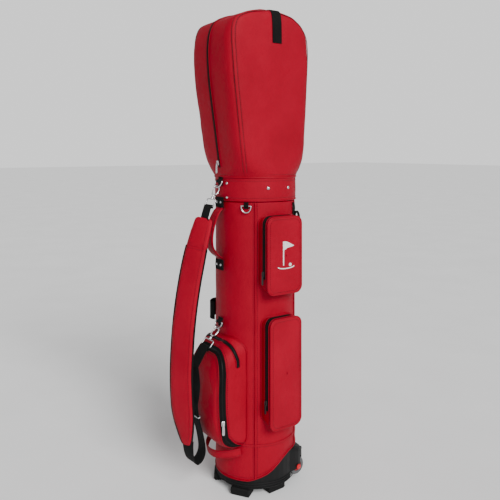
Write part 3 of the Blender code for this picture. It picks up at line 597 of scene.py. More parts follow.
HUB = moulded_material("red_hub", (0.46, 0.003, 0.010), 0.3, depth=0.00005, wear=1.15, shine=0.4)
LINING = woven_material("black_lining", (0.020, 0.020, 0.021), 0.0008, 0.0001, 0.9, sheen=0.05)
MARK = woven_material("white_mark_thread", (0.80, 0.79, 0.76), 0.0007, 0.00012, 0.6, across=6.0)


# ---------------------------------------------------------------- surfaces of the bag
def tube_point(degrees, height, out=0.0, radius=TUBE_R):
    a = np.radians(degrees)
    height = np.asarray(height, float)
    r = radius + out
    return np.stack([r * np.cos(a) + 0 * height, r * np.sin(a) + 0 * height, height + 0 * a], -1)


def tube_normal(degrees, height):
    a = np.radians(degrees)
    height = np.asarray(height, float)
    return np.stack([np.cos(a) + 0 * height, np.sin(a) + 0 * height, 0 * height + 0 * a], -1)


def tube_ring(turn, height, radius):
    return tube_point(turn, np.full_like(turn, height), 0.0, radius)


def hem_height(y):
    """Height of the leather's lower edge, which climbs over the wheel housing."""
    at = (-0.107, -0.075, -0.0614, -0.0348, -0.0204, -0.003, 0.013, 0.035, 0.107)
    z = (0.0385, 0.0405, 0.0455, 0.0560, 0.0645, 0.0770, 0.0880, 0.0975, 0.0975)
    return np.interp(y, at, z)


TUBE_SEAMS = {"front_right": -35.0, "back_right": 38.0, "back_left": 133.0, "front_left": 215.0}
LOW_SEAM_Z = 0.131


def make_skin():
    turn = full_turn(300)
    up = np.linspace(0, 1, 190)
    low = hem_height(TUBE_R * np.sin(np.radians(turn)))
    z = low[None] + (TUBE_TOP - low[None]) * up[:, None]
    deg = np.repeat(turn[None], len(up), axis=0)
    normals = tube_normal(deg, z)
    points = crumpled(tube_point(deg, z), normals, 0.0010, 16.0, 3.0)
    near_edge = np.minimum((z - low[None]) / 0.012, (TUBE_TOP - z) / 0.012)
    roll = np.clip(1 - near_edge, 0, 1) ** 2 * 0.0005
    skin = lined_skin("tube_skin", points - normals * (roll[..., None] + 0.0003), "bag")
    stand_for(skin, "body_skin")
    for side, degrees in TUBE_SEAMS.items():
        foot = float(hem_height(TUBE_R * math.sin(math.radians(degrees)))) + 0.001
        z = np.linspace(foot, 0.7465, 90)
        a = np.full_like(z, degrees)
        path = tube_point(a, z, 0.0004)
        n = tube_normal(a, z)
        cord(f"tube_piping_{side}", path + n * 0.0004, 0.0019, PIPING, "bag", first=n[0])
        stitch_pair(f"tube_stitch_{side}", path, n, 0.0052, THREAD, "bag")
    a = full_turn(240)
    z = hem_height(TUBE_R * np.sin(np.radians(a)))
    stitches("hem_stitch", tube_point(a, z + 0.0085, 0.0001), tube_normal(a, z), THREAD, "bag", closed=True)
    cord("hem_piping", tube_point(a, z + 0.0012, 0.0002), 0.0015, PIPING, "bag", closed=True, sides=10)
    z = np.full_like(a, LOW_SEAM_Z)
    n = tube_normal(a, z)
    section = band_section(0.0075, 0.0007)
    sweep("low_seam_band", tube_point(a, z, 0.0001), n, section, LEATHER, "bag", closed=True)
    for k, sign in SIDES:
        row = tube_point(a, z + sign * 0.0026, 0.0008)
        stitches(f"low_seam_stitch_{k}", row, n, THREAD, "bag", closed=True)


COLLAR_PIPING = ((0.7505, 0.1088), (0.8085, 0.1087))
COLLAR_ROWS = (0.7575, 0.8010)
COLLAR_FACE = 0.1092


def make_collar():
    turn = full_turn(280)
    rows = ((0.7484, 0.1070), (0.7492, 0.1081), (0.7520, 0.1086))
    for k in range(1, 12):
        rows += ((0.7520 + 0.0545 * k / 12, 0.1086 + 0.0004 * math.sin(math.pi * k / 12)),)
    rows += ((0.8065, 0.1086), (0.8092, 0.1081), (0.8100, 0.1068), (0.8098, 0.1056))
    rows += tuple((0.8065 - 0.0575 * k / 6, 0.1054) for k in range(7))
    points = np.array([tube_ring(turn, z, r) for z, r in rows])
    normals = tube_normal(np.repeat(turn[None], len(rows), 0), points[..., 2])
    points = crumpled(points, normals, 0.0004, 30.0, 9.0)
    collar = grid("collar_band", points, LEATHER, "bag", wrap_u=True)
    stand_for(collar, "collar")
    for k, (z, r) in enumerate(COLLAR_PIPING):
        cord(f"collar_piping_{k}", tube_ring(turn, z, r), 0.0017, PIPING, "bag", closed=True, sides=10)
    for k, z in enumerate(COLLAR_ROWS):
        n = tube_normal(turn, np.full_like(turn, z))
        stitches(f"collar_stitch_{k}", tube_ring(turn, z, 0.1090), n, THREAD, "bag", closed=True)


def stud(name, point, normal, radius, body, height=0.0024):
    profile = ((radius * 1.0, -0.0002), (radius * 1.02, 0.0004), (radius * 0.86, height * 0.55))
    profile += ((radius * 0.62, height * 0.85), (radius * 0.30, height * 0.98), (0.0001, height))
    turn = Vector(normal).normalized().to_track_quat("Z", "Y").to_matrix().to_4x4()
    return lathe(name, profile, STEEL, body, Matrix.Translation(Vector(point + SHIFT)) @ turn, 28, 60)


def collar_stud(name, degrees, z, radius):
    degrees, z = np.float64(degrees), np.float64(z)
    return stud(name, tube_point(degrees, z, 0.0, COLLAR_FACE), tube_normal(degrees, z), radius, "bag")


def make_snaps():
    for label, degrees in (("front", -17.4), ("back", 16.0)):
        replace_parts(collar_stud(f"press_stud_{label}", degrees, 0.783, 0.0043), f"snap_{label}")
    for k, z in enumerate((0.7945, 0.7575)):
        collar_stud(f"collar_rivet_{k}", -77.0, z, 0.0034)


# ---------------------------------------------------------------- hood
# Each section: height, half width, front, back, and how square it is (1 round, 0 square).
HOOD = (
    (0.8105, 0.1075, -0.1075, 0.1075, 1.00),
    (0.8350, 0.1060, -0.1115, 0.1080, 0.66),
    (0.8650, 0.1045, -0.1160, 0.1088, 0.44),
    (0.9200, 0.1028, -0.1240, 0.1100, 0.35),
    (0.9900, 0.1020, -0.1345, 0.1125, 0.31),
    (1.0600, 0.1018, -0.1440, 0.1150, 0.29),
    (1.1150, 0.1018, -0.1480, 0.1170, 0.28),
    (1.1530, 0.1018, -0.1475, 0.1165, 0.28),
    (1.1820, 0.1016, -0.1425, 0.1110, 0.28),
    (1.2050, 0.1008, -0.1320, 0.0950, 0.27),
    (1.2170, 0.0995, -0.1170, 0.0800, 0.27),
    (1.2280, 0.0970, -0.0920, 0.0600, 0.28),
    (1.2355, 0.0920, -0.0640, 0.0250, 0.32),
    (1.2390, 0.0840, -0.0480, -0.0050, 0.38),
)
HOOD_TOP = len(HOOD) - 1
HOOD_MIDDLE = np.array([0.0, 0.0, 1.03])
# The seam on the right: (section number, degrees) up the front corner, over the top and down behind.
HOOD_SEAM = (
    (0.02, -48.0), (1.0, -45.8), (2.0, -44.3), (3.0, -43.3), (4.0, -42.4), (5.0, -42.1), (6.0, -42.4),
    (7.0, -43.4), (8.0, -44.6), (9.0, -45.0), (10.0, -44.5), (11.0, -42.0), (11.7, -35.0), (12.2, -22.0),
    (12.4, -8.0), (12.3, 10.0), (12.0, 27.0), (11.2, 39.0), (10.2, 44.0), (9.0, 46.0), (7.0, 48.0),
    (5.0, 50.0), (3.0, 53.0), (1.0, 56.0), (0.02, 59.8),
)
HOOD_SEAMS = {"right": HOOD_SEAM, "left": tuple((level, 180.0 - degrees) for level, degrees in HOOD_SEAM)}
TAB_Y = -0.004


def hood_surface(level, degrees):
    """A point of the hood: degrees are those of a ray in a section scaled to a square."""
    level, degrees = np.broadcast_arrays(np.asarray(level, float), np.asarray(degrees, float))
    z, half, front, back, square = np.moveaxis(table_row(HOOD, level), -1, 0)
    c, s = np.cos(np.radians(degrees)), np.sin(np.radians(degrees))
    power = 2 / square
    reach = (np.abs(c) ** power + np.abs(s) ** power) ** (-1 / power)
    y = (front + back) / 2 + (back - front) / 2 * reach * s
    return np.stack([half * reach * c, y, z], -1)


def on_hood(path, step, out=0.0):
    """Points and normals on the hood along a line of (section number, degrees)."""
    fine = catmull(path, 10)
    points = hood_surface(fine[:, 0], fine[:, 1])
    joined = evened(np.hstack([points, fine]), step)
    level, degrees = np.clip(joined[:, 3], 0.03, HOOD_TOP - 0.03), joined[:, 4]
    n = smoothed(surface_normal(hood_surface, level, degrees, HOOD_MIDDLE), 2, 2)
    return hood_surface(level, degrees) + n * out, n


def distance_to(points, lines):
    """How far each point is from the nearest point of the lines, up to 1 m."""
    flat = points.reshape(-1, 3)
    near = np.full(len(flat), 1.0)
    for start in range(0, len(lines), 40):
        part = lines[start : start + 40]
        near = np.minimum(near, np.sqrt(((flat[:, None] - part[None]) ** 2).sum(-1)).min(axis=1))
    return near.reshape(points.shape[:-1])


def make_hood():
    points = hood_surface(np.linspace(0, HOOD_TOP, 190)[:, None], full_turn(260)[None])
    top = points[-1]
    centre = top.mean(axis=0)
    rows = [points]
    for k in range(1, 13):
        f = 1 - k / 12.5
        ring = centre + (top - centre) * f
        ring[:, 2] = top[:, 2] * f + centre[2] * (1 - f) + 0.0022 * (1 - f * f)
        rows.append(ring[None])
    points = np.concatenate(rows)
    normals = grid_normals(points, HOOD_MIDDLE)
    near = distance_to(points, np.concatenate([on_hood(path, 0.004)[0] for path in HOOD_SEAMS.values()]))
    points = crumpled(points, normals, 0.0022, 6.5, 1.0, 2)
    points = crumpled(points, normals, 0.0007, 28.0, 5.0, 2)
    tuck = np.exp(-((near / 0.006) ** 2)) * 0.0006
    lift = 0.0012 * np.clip(1 - (points[..., 2] - HOOD[0][0]) / 0.02, 0, 1) ** 2
    points = points + normals * (lift - tuck)[..., None]
    points[..., 2] = np.maximum(points[..., 2], 0.8103)
    stand_for(lined_skin("hood_skin", points, "hood"), "hood_shell")
    for side, path in HOOD_SEAMS.items():
        line, n = on_hood(path, 0.003, 0.0002)
        sweep(f"hood_seam_{side}", line, n, band_section(0.0070, 0.0010, 0.0003), LEATHER, "hood")
        stitch_pair(f"hood_stitch_{side}", line, n, 0.0053, THREAD, "hood", ("in", "out"))
        # Thin dark cords along both edges of each seam band: painted shadow lines where the band's edges
        # meet the hood.
        for k, off in (("in", 0.0036), ("out", -0.0036)):
            cord(f"hood_seam_shadow_line_{side}_{k}", beside(line, n, off) + n * 0.0001, 0.0006, THREAD, "hood", sides=6)
    a = full_turn(200)
    hem = hood_surface(0.12, a) * np.array([1.004, 1.004, 1]) + np.array([0, 0, -0.0035])
    cord("hood_hem", hem, 0.0019, PIPING, "hood", closed=True, sides=10)
    level = np.full_like(a, 0.26)
    n = surface_normal(hood_surface, level, a, HOOD_MIDDLE)
    stitches("hood_hem_stitch", hood_surface(level, a) + n * 0.0009, n, THREAD, "hood", closed=True)
    path = [(float(k), -90.0) for k in range(1, HOOD_TOP)] + [(HOOD_TOP - 0.1, -90.0)]
    line, n = on_hood(path, 0.003, 0.0006)
    zip_band("hood_zip_band", "hood_zip", line, n, 0.0105, "hood")
    make_hood_tab()
    make_hood_slider()


def zip_band(name, node_name, line, n, width, body, taper=None):
    """Zip tape in a leather-edged slot, with its row of teeth."""
    taper = np.ones(len(line)) if taper is None else taper
    sec = np.repeat(np.array(band_section(width, 0.0007, 0.0, 0.0005))[None], len(line), axis=0)
    sec[:, :, 0] *= taper[:, None]
    stand_for(sweep(name, line, n, sec, TAPE, body), node_name)
    sweep(f"{name}_coil_base", line + n * 0.0006, n, band_section(0.0034, 0.0006, 0.0004), TEETH, body)
    even = evened(np.hstack([line, n]), 0.00105)
    p = even[:, :3]
    t = tangents(p)
    m = square_to(t, unit(even[:, 3:]))
    odd = np.where(np.arange(len(p)) % 2 == 0, 1.0, -1.0)[:, None]
    places = p + m * 0.0009 + np.cross(m, t) * 0.0008 * odd
    set_down(f"{name}_teeth", tooth_shape(0.0011, 0.0030, 0.0011, 0.45), places, t, m, TEETH, body, 40)
    for k, sign in SIDES:
        edge = line + np.cross(tangents(line), n) * (sign * (width / 2 * taper + 0.0006))[:, None]
        cord(f"{name}_edge_{k}", edge + n * 0.0004, 0.0011, PIPING, body, sides=8)


def make_hood_tab():
    """The webbing tab that crosses the hood's top from side to side."""
    line = [hood_surface(v, 0.0) for v in np.arange(7.0, 12.5, 0.6)]
    line += [np.array([x, 0.0, z]) for x, z in ((0.074, 1.2393), (0.050, 1.2402), (0.018, 1.2406))]
    line = [np.array([p[0], TAB_Y, p[2] + 0.0007]) for p in line]
    full = np.array(line + [p * np.array([-1, 1, 1]) for p in reversed(line)])
    path = evened(catmull(full, 6), 0.003)
    n = unit(np.cross(np.array([0, 1.0, 0]), tangents(path)))
    n = away_from(n, path, HOOD_MIDDLE)
    section = band_section(0.029, 0.0018, 0.0002)
    tab = sweep("hood_top_webbing", path + n * 0.0012, n, section, WEBBING, "hood")
    stand_for(tab, "hood_top_strap")
    for label, ends in (("r", slice(2, 14)), ("l", slice(-14, -2))):
        row, m = path[ends], n[ends]
        for k, sign in SIDES:
            side = np.cross(tangents(row), m) * (sign * 0.0118)
            stitches(f"hood_tab_stitch_{label}{k}", row + side + m * 0.0031, m, WEBBING, "hood", pitch=0.004)


def make_hood_slider():
    lean = math.atan2(0.00225, 0.015)
    place = Matrix.Translation(box_middle("hood_zip_slider")) @ spin(lean, "X")
    slider_body("hood_zip_runner", "hood_zip_slider", place, "hood_slider", reach=0.0022, wire=0.0006)
    place = Matrix.Translation(box_top("hood_zip_pull"))
    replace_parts(puller("hood_zip_puller", place, 0.026, "hood_pull"), "hood_zip_pull")


def slider_body(name, node_name, place, body, metal=STEEL, reach=0.0040, wire=0.0010):
    """A cast slider: a rounded block and the bridge that holds the puller."""
    block = local_box(name, (0.0085, 0.0034, 0.0125), 0.0012, metal, body, place, 4)
    stand_for(block, node_name)
    ring = [(-0.0012, 0.0048), (-0.9 * reach, 0.0030), (-reach, 0.0)]
    ring += [(-0.8 * reach, -0.0030), (-0.0012, -0.0042)]
    path = np.array([place @ Vector(p) for p in catmull(upright(ring), 5)]) - SHIFT
    cord(f"{name}_bridge", path, wire, metal, body, sides=8, step=0.0008)


def puller(name, place, length, body, width=0.0068, metal=STEEL):
    """A flat pressed puller with a waist, hanging from its top."""
    outline = []
    for s in np.linspace(0, 1, 26):
        w = width / 2 * (0.62 + 0.38 * min(s / 0.35, 1.0))
        end = min(s / 0.06, (1 - s) / 0.10, 1.0)
        outline.append((w * math.sqrt(max(1 - (1 - end) ** 2, 0.02)), -length * s))
    rows = []
    for depth, inset in ((0.0009, 0.0006), (0.00125, 0.0), (-0.00005, 0.0), (-0.0009, 0.0006)):
        ring = [(max(w - inset, 0.0002), depth - 0.0004, z) for w, z in outline]
        ring += [(-x, y, z) for x, y, z in reversed(ring)]
        rows.append([place @ Vector(p) for p in ring])
    made = grid(name, np.array(rows) - SHIFT, metal, body, caps=True, smooth=30)
    return made


# ---------------------------------------------------------------- box pockets
# Each pocket: turn about the tube, half width, low, high, and the side its zip is on.
POCKETS = {
    "upper_pocket": (-1.5, 0.052, 0.518, 0.711, -1),
    "lower_pocket": (0.0, 0.048, 0.180, 0.455, -1),
    "apparel_pocket": (169.0, 0.052, 0.190, 0.700, 1),
}
POCKET_CORNER = 0.018
POCKET_RISE = 0.35  # the bottom wall climbs towards the tube
POCKET_EDGE = 0.134
POCKET_FACE = 0.1369
POCKET_CROWN = 0.0028
CROWN_POWER = 3.2
ZIP_DEPTH = 0.122
CORNER_SIGNS = np.array([1, 1, -1, -1])
CORNER_STARTS = np.array([-90, 0, 90, 180])


def outline_points(half, low, high, low_radius, high_radius, index):
    """Points (across, up) of an upright rounded rectangle at an index from 0 to 20, five to each corner."""
    half, low, high = (np.asarray(v, float) for v in (half, low, high))
    index = np.asarray(index, float) % 20
    corner = np.floor(index / 5).astype(int) % 4
    step = index - corner * 5

    def on_corner(which, share):
        is_low = (which == 0) | (which == 3)
        radius = np.where(is_low, low_radius, high_radius)
        arc = np.radians(CORNER_STARTS[which] + 90 * share)
        a = CORNER_SIGNS[which] * (half - radius) + radius * np.cos(arc)
        return a, np.where(is_low, low + radius, high - radius) + radius * np.sin(arc)

    a, u = on_corner(corner, np.clip(step, 0, 4) / 4)
    a2, u2 = on_corner((corner + 1) % 4, 0)
    share = np.clip(step - 4, 0, 1)
    return a + (a2 - a) * share, u + (u2 - u) * share


def even_index(half, low, high, low_radius, high_radius, count):
    """Index numbers that stand at equal distances round the outline."""
    index = np.linspace(0, 20, 2001)
    a, u = outline_points(half, low, high, low_radius, high_radius, np.minimum(index, 19.9999))
    run = np.concatenate([[0], np.cumsum(np.hypot(np.diff(a), np.diff(u)))])
    return np.interp(np.linspace(0, run[-1], count, endpoint=False), run, index)


def mirror_index(index):
    """The same place on the other side of an outline: the corners run 0-4, 5-9, 10-14 and 15-19."""
    return (19 - np.asarray(index, float)) % 20


def box_surface(pocket):
    turn, half, low, high, _ = pocket

    def surface(depth, index):
        depth, index = np.broadcast_arrays(np.asarray(depth, float), np.asarray(index, float))
        risen = low + POCKET_RISE * np.maximum(POCKET_EDGE - depth, 0)
        a, u = outline_points(half, risen, high, POCKET_CORNER, POCKET_CORNER, index)
        bulge = 0.0012 * np.sin(np.clip((depth - 0.098) / 0.036, 0, 1) * math.pi)
        away = unit(np.stack([a, (u - (low + high) / 2) * half / (high - low) * 2], -1))
        return about_z(np.stack([depth, a + away[..., 0] * bulge, u + away[..., 1] * bulge], -1), turn)

    return surface


def root_line(surface, index, start, least, out, across):
    """The line where a pocket's walls meet the tube, found by a few steps at each index."""
    line = []
    for i in index:
        depth = start
        for _ in range(6):
            depth = math.sqrt(max(TUBE_R**2 - across(surface(depth, i)) ** 2, least))
        line.append(surface(depth + out, i))
    return np.array(line)


def make_box_pocket(name, pocket):
    turn, half, low, high, side = pocket
    surface = box_surface(pocket)
    index = even_index(half, low, high, POCKET_CORNER, POCKET_CORNER, 220)
    centre = (low + high) / 2
    middle = about_z(np.array([0.10, 0.0, centre]), turn)

    def drawn_in(row, depth, across, up):
        row = row.copy()
        row[:, 0] = depth
        row[:, 1] *= across
        row[:, 2] = centre + (row[:, 2] - centre) * up
        return row

    walls = [surface(depth, index) for depth in np.linspace(0.086, POCKET_EDGE, 30)]
    flat = about_z(walls[-1], -turn)
    for depth, inset in ((0.1352, 0.0003), (0.1362, 0.0010), (POCKET_FACE, 0.0019)):
        row = drawn_in(flat, depth, 1 - inset / half, 1 - inset / ((high - low) / 2))
        walls.append(about_z(row, turn))
    local = about_z(walls[-1], -turn)
    face = []
    for k in range(1, 29):
        f = 1 - k / 28.6
        face.append(about_z(drawn_in(local, POCKET_FACE + POCKET_CROWN * (1 - f**CROWN_POWER), f, f), turn))
    points = np.concatenate([np.array(walls), np.array(face)])
    n = grid_normals(points, middle)
    ease = np.concatenate([np.full(len(walls), 0.35), np.ones(len(face))])[:, None, None]
    points = points + (crumpled(points, n, 0.0009, 22.0, len(name) * 1.0, 3) - points) * ease
    shell = grid(f"{name}_shell", points, LEATHER, "bag", flip=False)
    turn_out(shell, middle)
    stand_for(shell, name)
    edge_n = surface_normal(surface, np.full_like(index, 0.125), index, middle, 0.0005, 0.05)
    edge_out = about_z(ACROSS, turn)
    piping = surface(POCKET_EDGE, index) + edge_n * 0.0001 + edge_out * 0.0014
    cord(f"{name}_piping", piping, 0.0021, PIPING, "bag", closed=True)
    inner = drawn_in(about_z(piping, -turn), 0.1380, 1 - 0.0058 / half, 1 - 0.0116 / (high - low))
    row = about_z(inner, turn)
    stitches(f"{name}_face_stitch", row, repeated(edge_out, len(row)), THREAD, "bag", closed=True)
    gusset = surface(0.1312, index) + edge_n * 0.0002
    stitches(f"{name}_gusset_stitch", gusset, edge_n, THREAD, "bag", closed=True)
    root = root_line(surface, index, 0.100, 0.004, 0.0012, lambda p: about_z(p, -turn)[1])
    cord(f"{name}_root_piping", root + edge_n * 0.0012, 0.0017, PIPING, "bag", closed=True, sides=10)
    stops = np.array([4.12, 4.5, 4.9, 5.0, 6.0, 7.0, 8.0, 9.0, 9.1, 9.5, 9.86])
    at = np.interp(np.linspace(0, len(stops) - 1, 240), np.arange(len(stops)), stops)
    at = mirror_index(at) if side < 0 else at
    line = surface(np.full_like(at, ZIP_DEPTH), at)
    at = evened(np.hstack([line, at[:, None]]), 0.0025)[:, 3]
    depth = np.full_like(at, ZIP_DEPTH)
    n = smoothed(surface_normal(surface, depth, at, middle, 0.0005, 0.05), 1, 3)
    zip_band(f"{name}_zip_band", f"{name}_zip", surface(depth, at) + n * 0.0010, n, 0.0140, "bag")
    make_box_slider(name, turn, side)


def make_box_slider(name, turn, side):
    body = name.replace("pocket", "slider")
    node_name = f"{name}_slider"
    yaw = math.radians(turn) + (math.pi if side > 0 else 0.0)
    place = Matrix.Translation(box_top(node_name, 0.006)) @ spin(yaw, "Z") @ moved_to(0, 0.0002, 0)
    slider_body(f"{name}_runner", node_name, place, body, BLACK_METAL)
    hang = place @ moved_to(0, -0.0022, -0.0030)
    puller(f"{name}_puller", hang, 0.024, body, 0.0060, BLACK_METAL)


# ---------------------------------------------------------------- ball pocket
# Each section: distance out from the tube's middle, half width, low, high.
BALL = (
    (0.070, 0.0740, 0.1290, 0.408),
    (0.112, 0.0740, 0.1300, 0.396),
    (0.130, 0.0735, 0.1340, 0.380),
    (0.146, 0.0720, 0.1440, 0.362),
    (0.158, 0.0680, 0.1620, 0.342),
    (0.166, 0.0600, 0.1870, 0.318),
    (0.169, 0.0460, 0.2150, 0.290),
)
BALL_LOW_RADIUS = 0.022
BALL_TOP_RADIUS = 0.043
BALL_MIDDLE = np.array([0.0, -0.10, 0.27])
# Half of each zip's line, as (distance out, index), up to the middle of the top.
BALL_ZIP = (
    (0.092, 1.7), (0.108, 2.3), (0.124, 3.1), (0.1375, 3.85), (0.1455, 4.15), (0.149, 4.4), (0.150, 4.7),
    (0.149, 5.0), (0.147, 6.0), (0.144, 7.0), (0.141, 8.0), (0.139, 9.0), (0.139, 9.4),
)
TEE_ZIP = ((0.105, 4.9), (0.109, 5.3), (0.112, 6.1), (0.115, 7.1), (0.118, 8.1), (0.119, 9.2))


def ball_surface(depth, index):
    """A point of the ball pocket; depth is measured out from the middle of the tube."""
    depth, index = np.broadcast_arrays(np.asarray(depth, float), np.asarray(index, float))
    row = np.interp(depth, [r[0] for r in BALL], np.arange(len(BALL)))
    _, half, low, high = np.moveaxis(table_row(BALL, row), -1, 0)
    a, u = outline_points(half, low, high, BALL_LOW_RADIUS, BALL_TOP_RADIUS, index)
    return np.stack([a, -depth, u], -1)


BALL_BAND_LIFT = 0.0009


def across_ball(half_path):
    """Points and normals along a line of (distance out, index) and its mirror image."""
    path = np.array(list(half_path) + [(d, 19 - i) for d, i in reversed(half_path)], float)
    at = np.linspace(0, len(path) - 1, 400)
    fine = np.stack([np.interp(at, np.arange(len(path)), path[:, k]) for k in (0, 1)], -1)
    joined = evened(np.hstack([ball_surface(fine[:, 0], fine[:, 1]), fine]), 0.0025)
    p = joined[:, :3]
    for _ in range(4):
        p[1:-1] = (p[:-2] + 2 * p[1:-1] + p[2:]) / 4
    n = surface_normal(ball_surface, joined[:, 3], joined[:, 4], BALL_MIDDLE, 0.0006, 0.05)
    n = smoothed(n, 2, 5)
    return p + n * BALL_BAND_LIFT, n


def make_ball_pocket():
    index = even_index(0.074, 0.134, 0.385, BALL_LOW_RADIUS, BALL_TOP_RADIUS, 230)
    rings = []
    for depth, half, low, high in table_row(BALL, np.linspace(0, len(BALL) - 1, 74)):
        low_radius, top_radius = (min(r, half * 0.9) for r in (BALL_LOW_RADIUS, BALL_TOP_RADIUS))
        a, u = outline_points(half, low, high, low_radius, top_radius, index)
        rings.append(np.stack([a, np.full_like(a, -depth), u], -1))
    edge = rings[-1]
    centre = np.array([0.0, -0.1712, 0.2575])
    for k in range(1, 25):
        f = 1 - k / 24.6
        ring = centre + (edge - centre) * f
        ring[:, 1] = -BALL[-1][0] - 0.0022 * (1 - f * f)
        rings.append(ring)
    points = np.array(rings)
    points = crumpled(points, grid_normals(points, BALL_MIDDLE), 0.0016, 17.0, 4.0, 3)
    shell = grid("ball_pocket_shell", points, LEATHER, "bag", flip=False)
    turn_out(shell, BALL_MIDDLE)
    stand_for(shell, "ball_pocket")
    line, n = across_ball(BALL_ZIP)
    run = np.linspace(0, 1, len(line))
    taper = np.clip(0.5 + np.minimum(run, 1 - run) / 0.16, 0.45, 1.0)
    zip_band("ball_pocket_zip_band", "ball_pocket_zip", line, n, 0.0185, "bag", taper)
    for k, sign in SIDES:
        row = beside(line, n, sign * 0.0138) - n * 0.0004
        stitches(f"ball_zip_stitch_{k}", row, n, THREAD, "bag")
    line, n = across_ball(TEE_ZIP)
    zip_band("tee_pocket_zip_band", "tee_pocket_zip", line, n, 0.0095, "bag")
    root = root_line(ball_surface, index, 0.095, 0.0056, 0.001, lambda p: p[0])
    n = surface_normal(ball_surface, np.full_like(index, 0.105), index, BALL_MIDDLE, 0.0006, 0.05)
    cord("ball_pocket_root_piping", root + n * 0.0010, 0.0017, PIPING, "bag", closed=True, sides=10)
    yaw = spin(QUARTER - math.atan(0.33), "Z")
    place = Matrix.Translation(box_middle("ball_pocket_slider")) @ yaw
    slider_body("ball_pocket_runner", "ball_pocket_slider", place, "ball_slider", reach=0.0022, wire=0.0006)
    place = Matrix.Translation(box_top("ball_pocket_pull")) @ yaw
    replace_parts(puller("ball_pocket_puller", place, 0.026, "ball_pull"), "ball_pocket_pull")


# ---------------------------------------------------------------- handle and loops
HANDLE_PATH = (
    (-0.1125, 0.7290), (-0.1230, 0.7190), (-0.1350, 0.6950), (-0.1430, 0.6600),
    (-0.1415, 0.6320), (-0.1280, 0.6120), (-0.1125, 0.6010),
)
HANDLE_TABS = {"top": 0.7450, "bottom": 0.5830}
TAB_FACE = -0.1160


def squashed(angle, wide, tall):
    """A point of a rounded rectangle one unit across: the powers say how square it is."""
    c, s = math.cos(angle), math.sin(angle)
    return abs(c) ** wide * math.copysign(0.5, c), abs(s) ** tall * math.copysign(0.5, s)


def make_handle():
    line = evened(catmull(upright(HANDLE_PATH), 10), 0.0025)
    t = tangents(line)
    n = frontward(unit(np.cross(ACROSS, t)))
    run = np.linspace(0, 1, len(line))
    width = 0.0340 - 0.0030 * np.abs(2 * run - 1) ** 3
    thick = 0.0062 * (0.62 + 0.38 * np.sin(math.pi * run) ** 0.5)
    sec = np.array([squashed(2 * math.pi * s / 20, 0.5, 0.8) for s in range(20)])
    shape = np.stack([sec[None, :, 0] * width[:, None], sec[None, :, 1] * thick[:, None]], -1)
    cols = [1 if sec[k][1] + sec[(k + 1) % 20][1] < -0.15 else 0 for k in range(20)]
    b = np.cross(t, n)
    points = line[:, None] + b[:, None] * shape[:, :, :1] + n[:, None] * shape[:, :, 1:]
    points = crumpled(points, grid_normals(points, line.mean(axis=0)), 0.0005, 60.0, 2.0)
    pad = grid("carry_handle_pad", points, [LEATHER, WEBBING], "bag", caps=True, cols=cols)
    stand_for(pad, "carry_handle")
    for k, sign in SIDES:
        edge = line + b * (sign * (width / 2 - 0.0003))[:, None]
        cord(f"carry_handle_piping_{k}", edge, 0.0012, PIPING, "bag", sides=8)
        row = line + b * (sign * (width / 2 - 0.0052))[:, None] + n * (thick / 2)[:, None]
        stitches(f"carry_handle_stitch_{k}", row[3:-3], n[3:-3], THREAD, "bag")
    for label, height in HANDLE_TABS.items():
        make_handle_tab(label, height)


def cross_row(name, half, count, y, z, pitch):
    """A short sewn row from side to side on the front."""
    row = np.stack([np.linspace(-half, half, count), np.full(count, y), np.full(count, z)], -1)
    stitches(name, row, repeated(FORWARD, count), WEBBING, "bag", pitch=pitch)


def make_handle_tab(label, height):
    z = np.linspace(height - 0.013, height + 0.013, 14)
    path = np.stack([0 * z, -0.1093 - 0.0036 * np.exp(-(((z - height) / 0.02) ** 2)), z], -1)
    n = repeated(FORWARD, len(z))
    tab = sweep(f"handle_patch_{label}", path, n, band_section(0.036, 0.0030, 0.0004), WEBBING, "bag")
    stand_for(tab, f"handle_tab_{label}")
    for off in (-0.0095, 0.0095):
        cross_row(f"handle_patch_{label}_{off > 0}", 0.015, 9, TAB_FACE, height + off, 0.004)
    for x in (-0.009, 0.009):
        spot = np.array([x, TAB_FACE + 0.0003, height])
        stud(f"handle_rivet_{label}_{x > 0}", spot, FORWARD, 0.0034, "bag", 0.0016)


def band(name, path, normals, width, thick, node_name=None, mat=None, slot="webbing", crown=0.0):
    """A flat band carried along a line on its underside, black webbing unless a material is given."""
    section = band_section(width, thick, crown, 0.0)
    made = sweep(name, path, normals, section, mat or WEBBING, "bag")
    if node_name:
        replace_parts(made, node_name)


def band_stitches(name, path, normals, width, lift, thread):
    for k, sign in SIDES:
        row = beside(path, normals, sign * (width / 2 - 0.0028)) + normals * lift
        stitches(f"{name}_stitch_{k}", row, normals, thread, "bag")


SLEEVE_HALF = ((0.024, -0.1068), (0.021, -0.1165), (0.010, -0.1228))
SLEEVE_Z = 0.447
SLEEVE_TURN = -45.0
SLEEVE_WIDTH = 0.048
FOOT_LOOP_HALF = ((0.067, -0.0935), (0.054, -0.1150), (0.028, -0.1380))
FOOT_LOOP_Z = 0.117
FOOT_LOOP_TILT = math.radians(12)
FOOT_LOOP_WIDTH = 0.0195


def mirrored_line(half, front=()):
    """Points (x, y) on the right, a front one, and the mirror images of the right ones, smoothed."""
    flat = list(half) + list(front) + [(-x, y) for x, y in reversed(half)]
    return catmull(np.array([(x, y, 0.0) for x, y in flat]), 10)


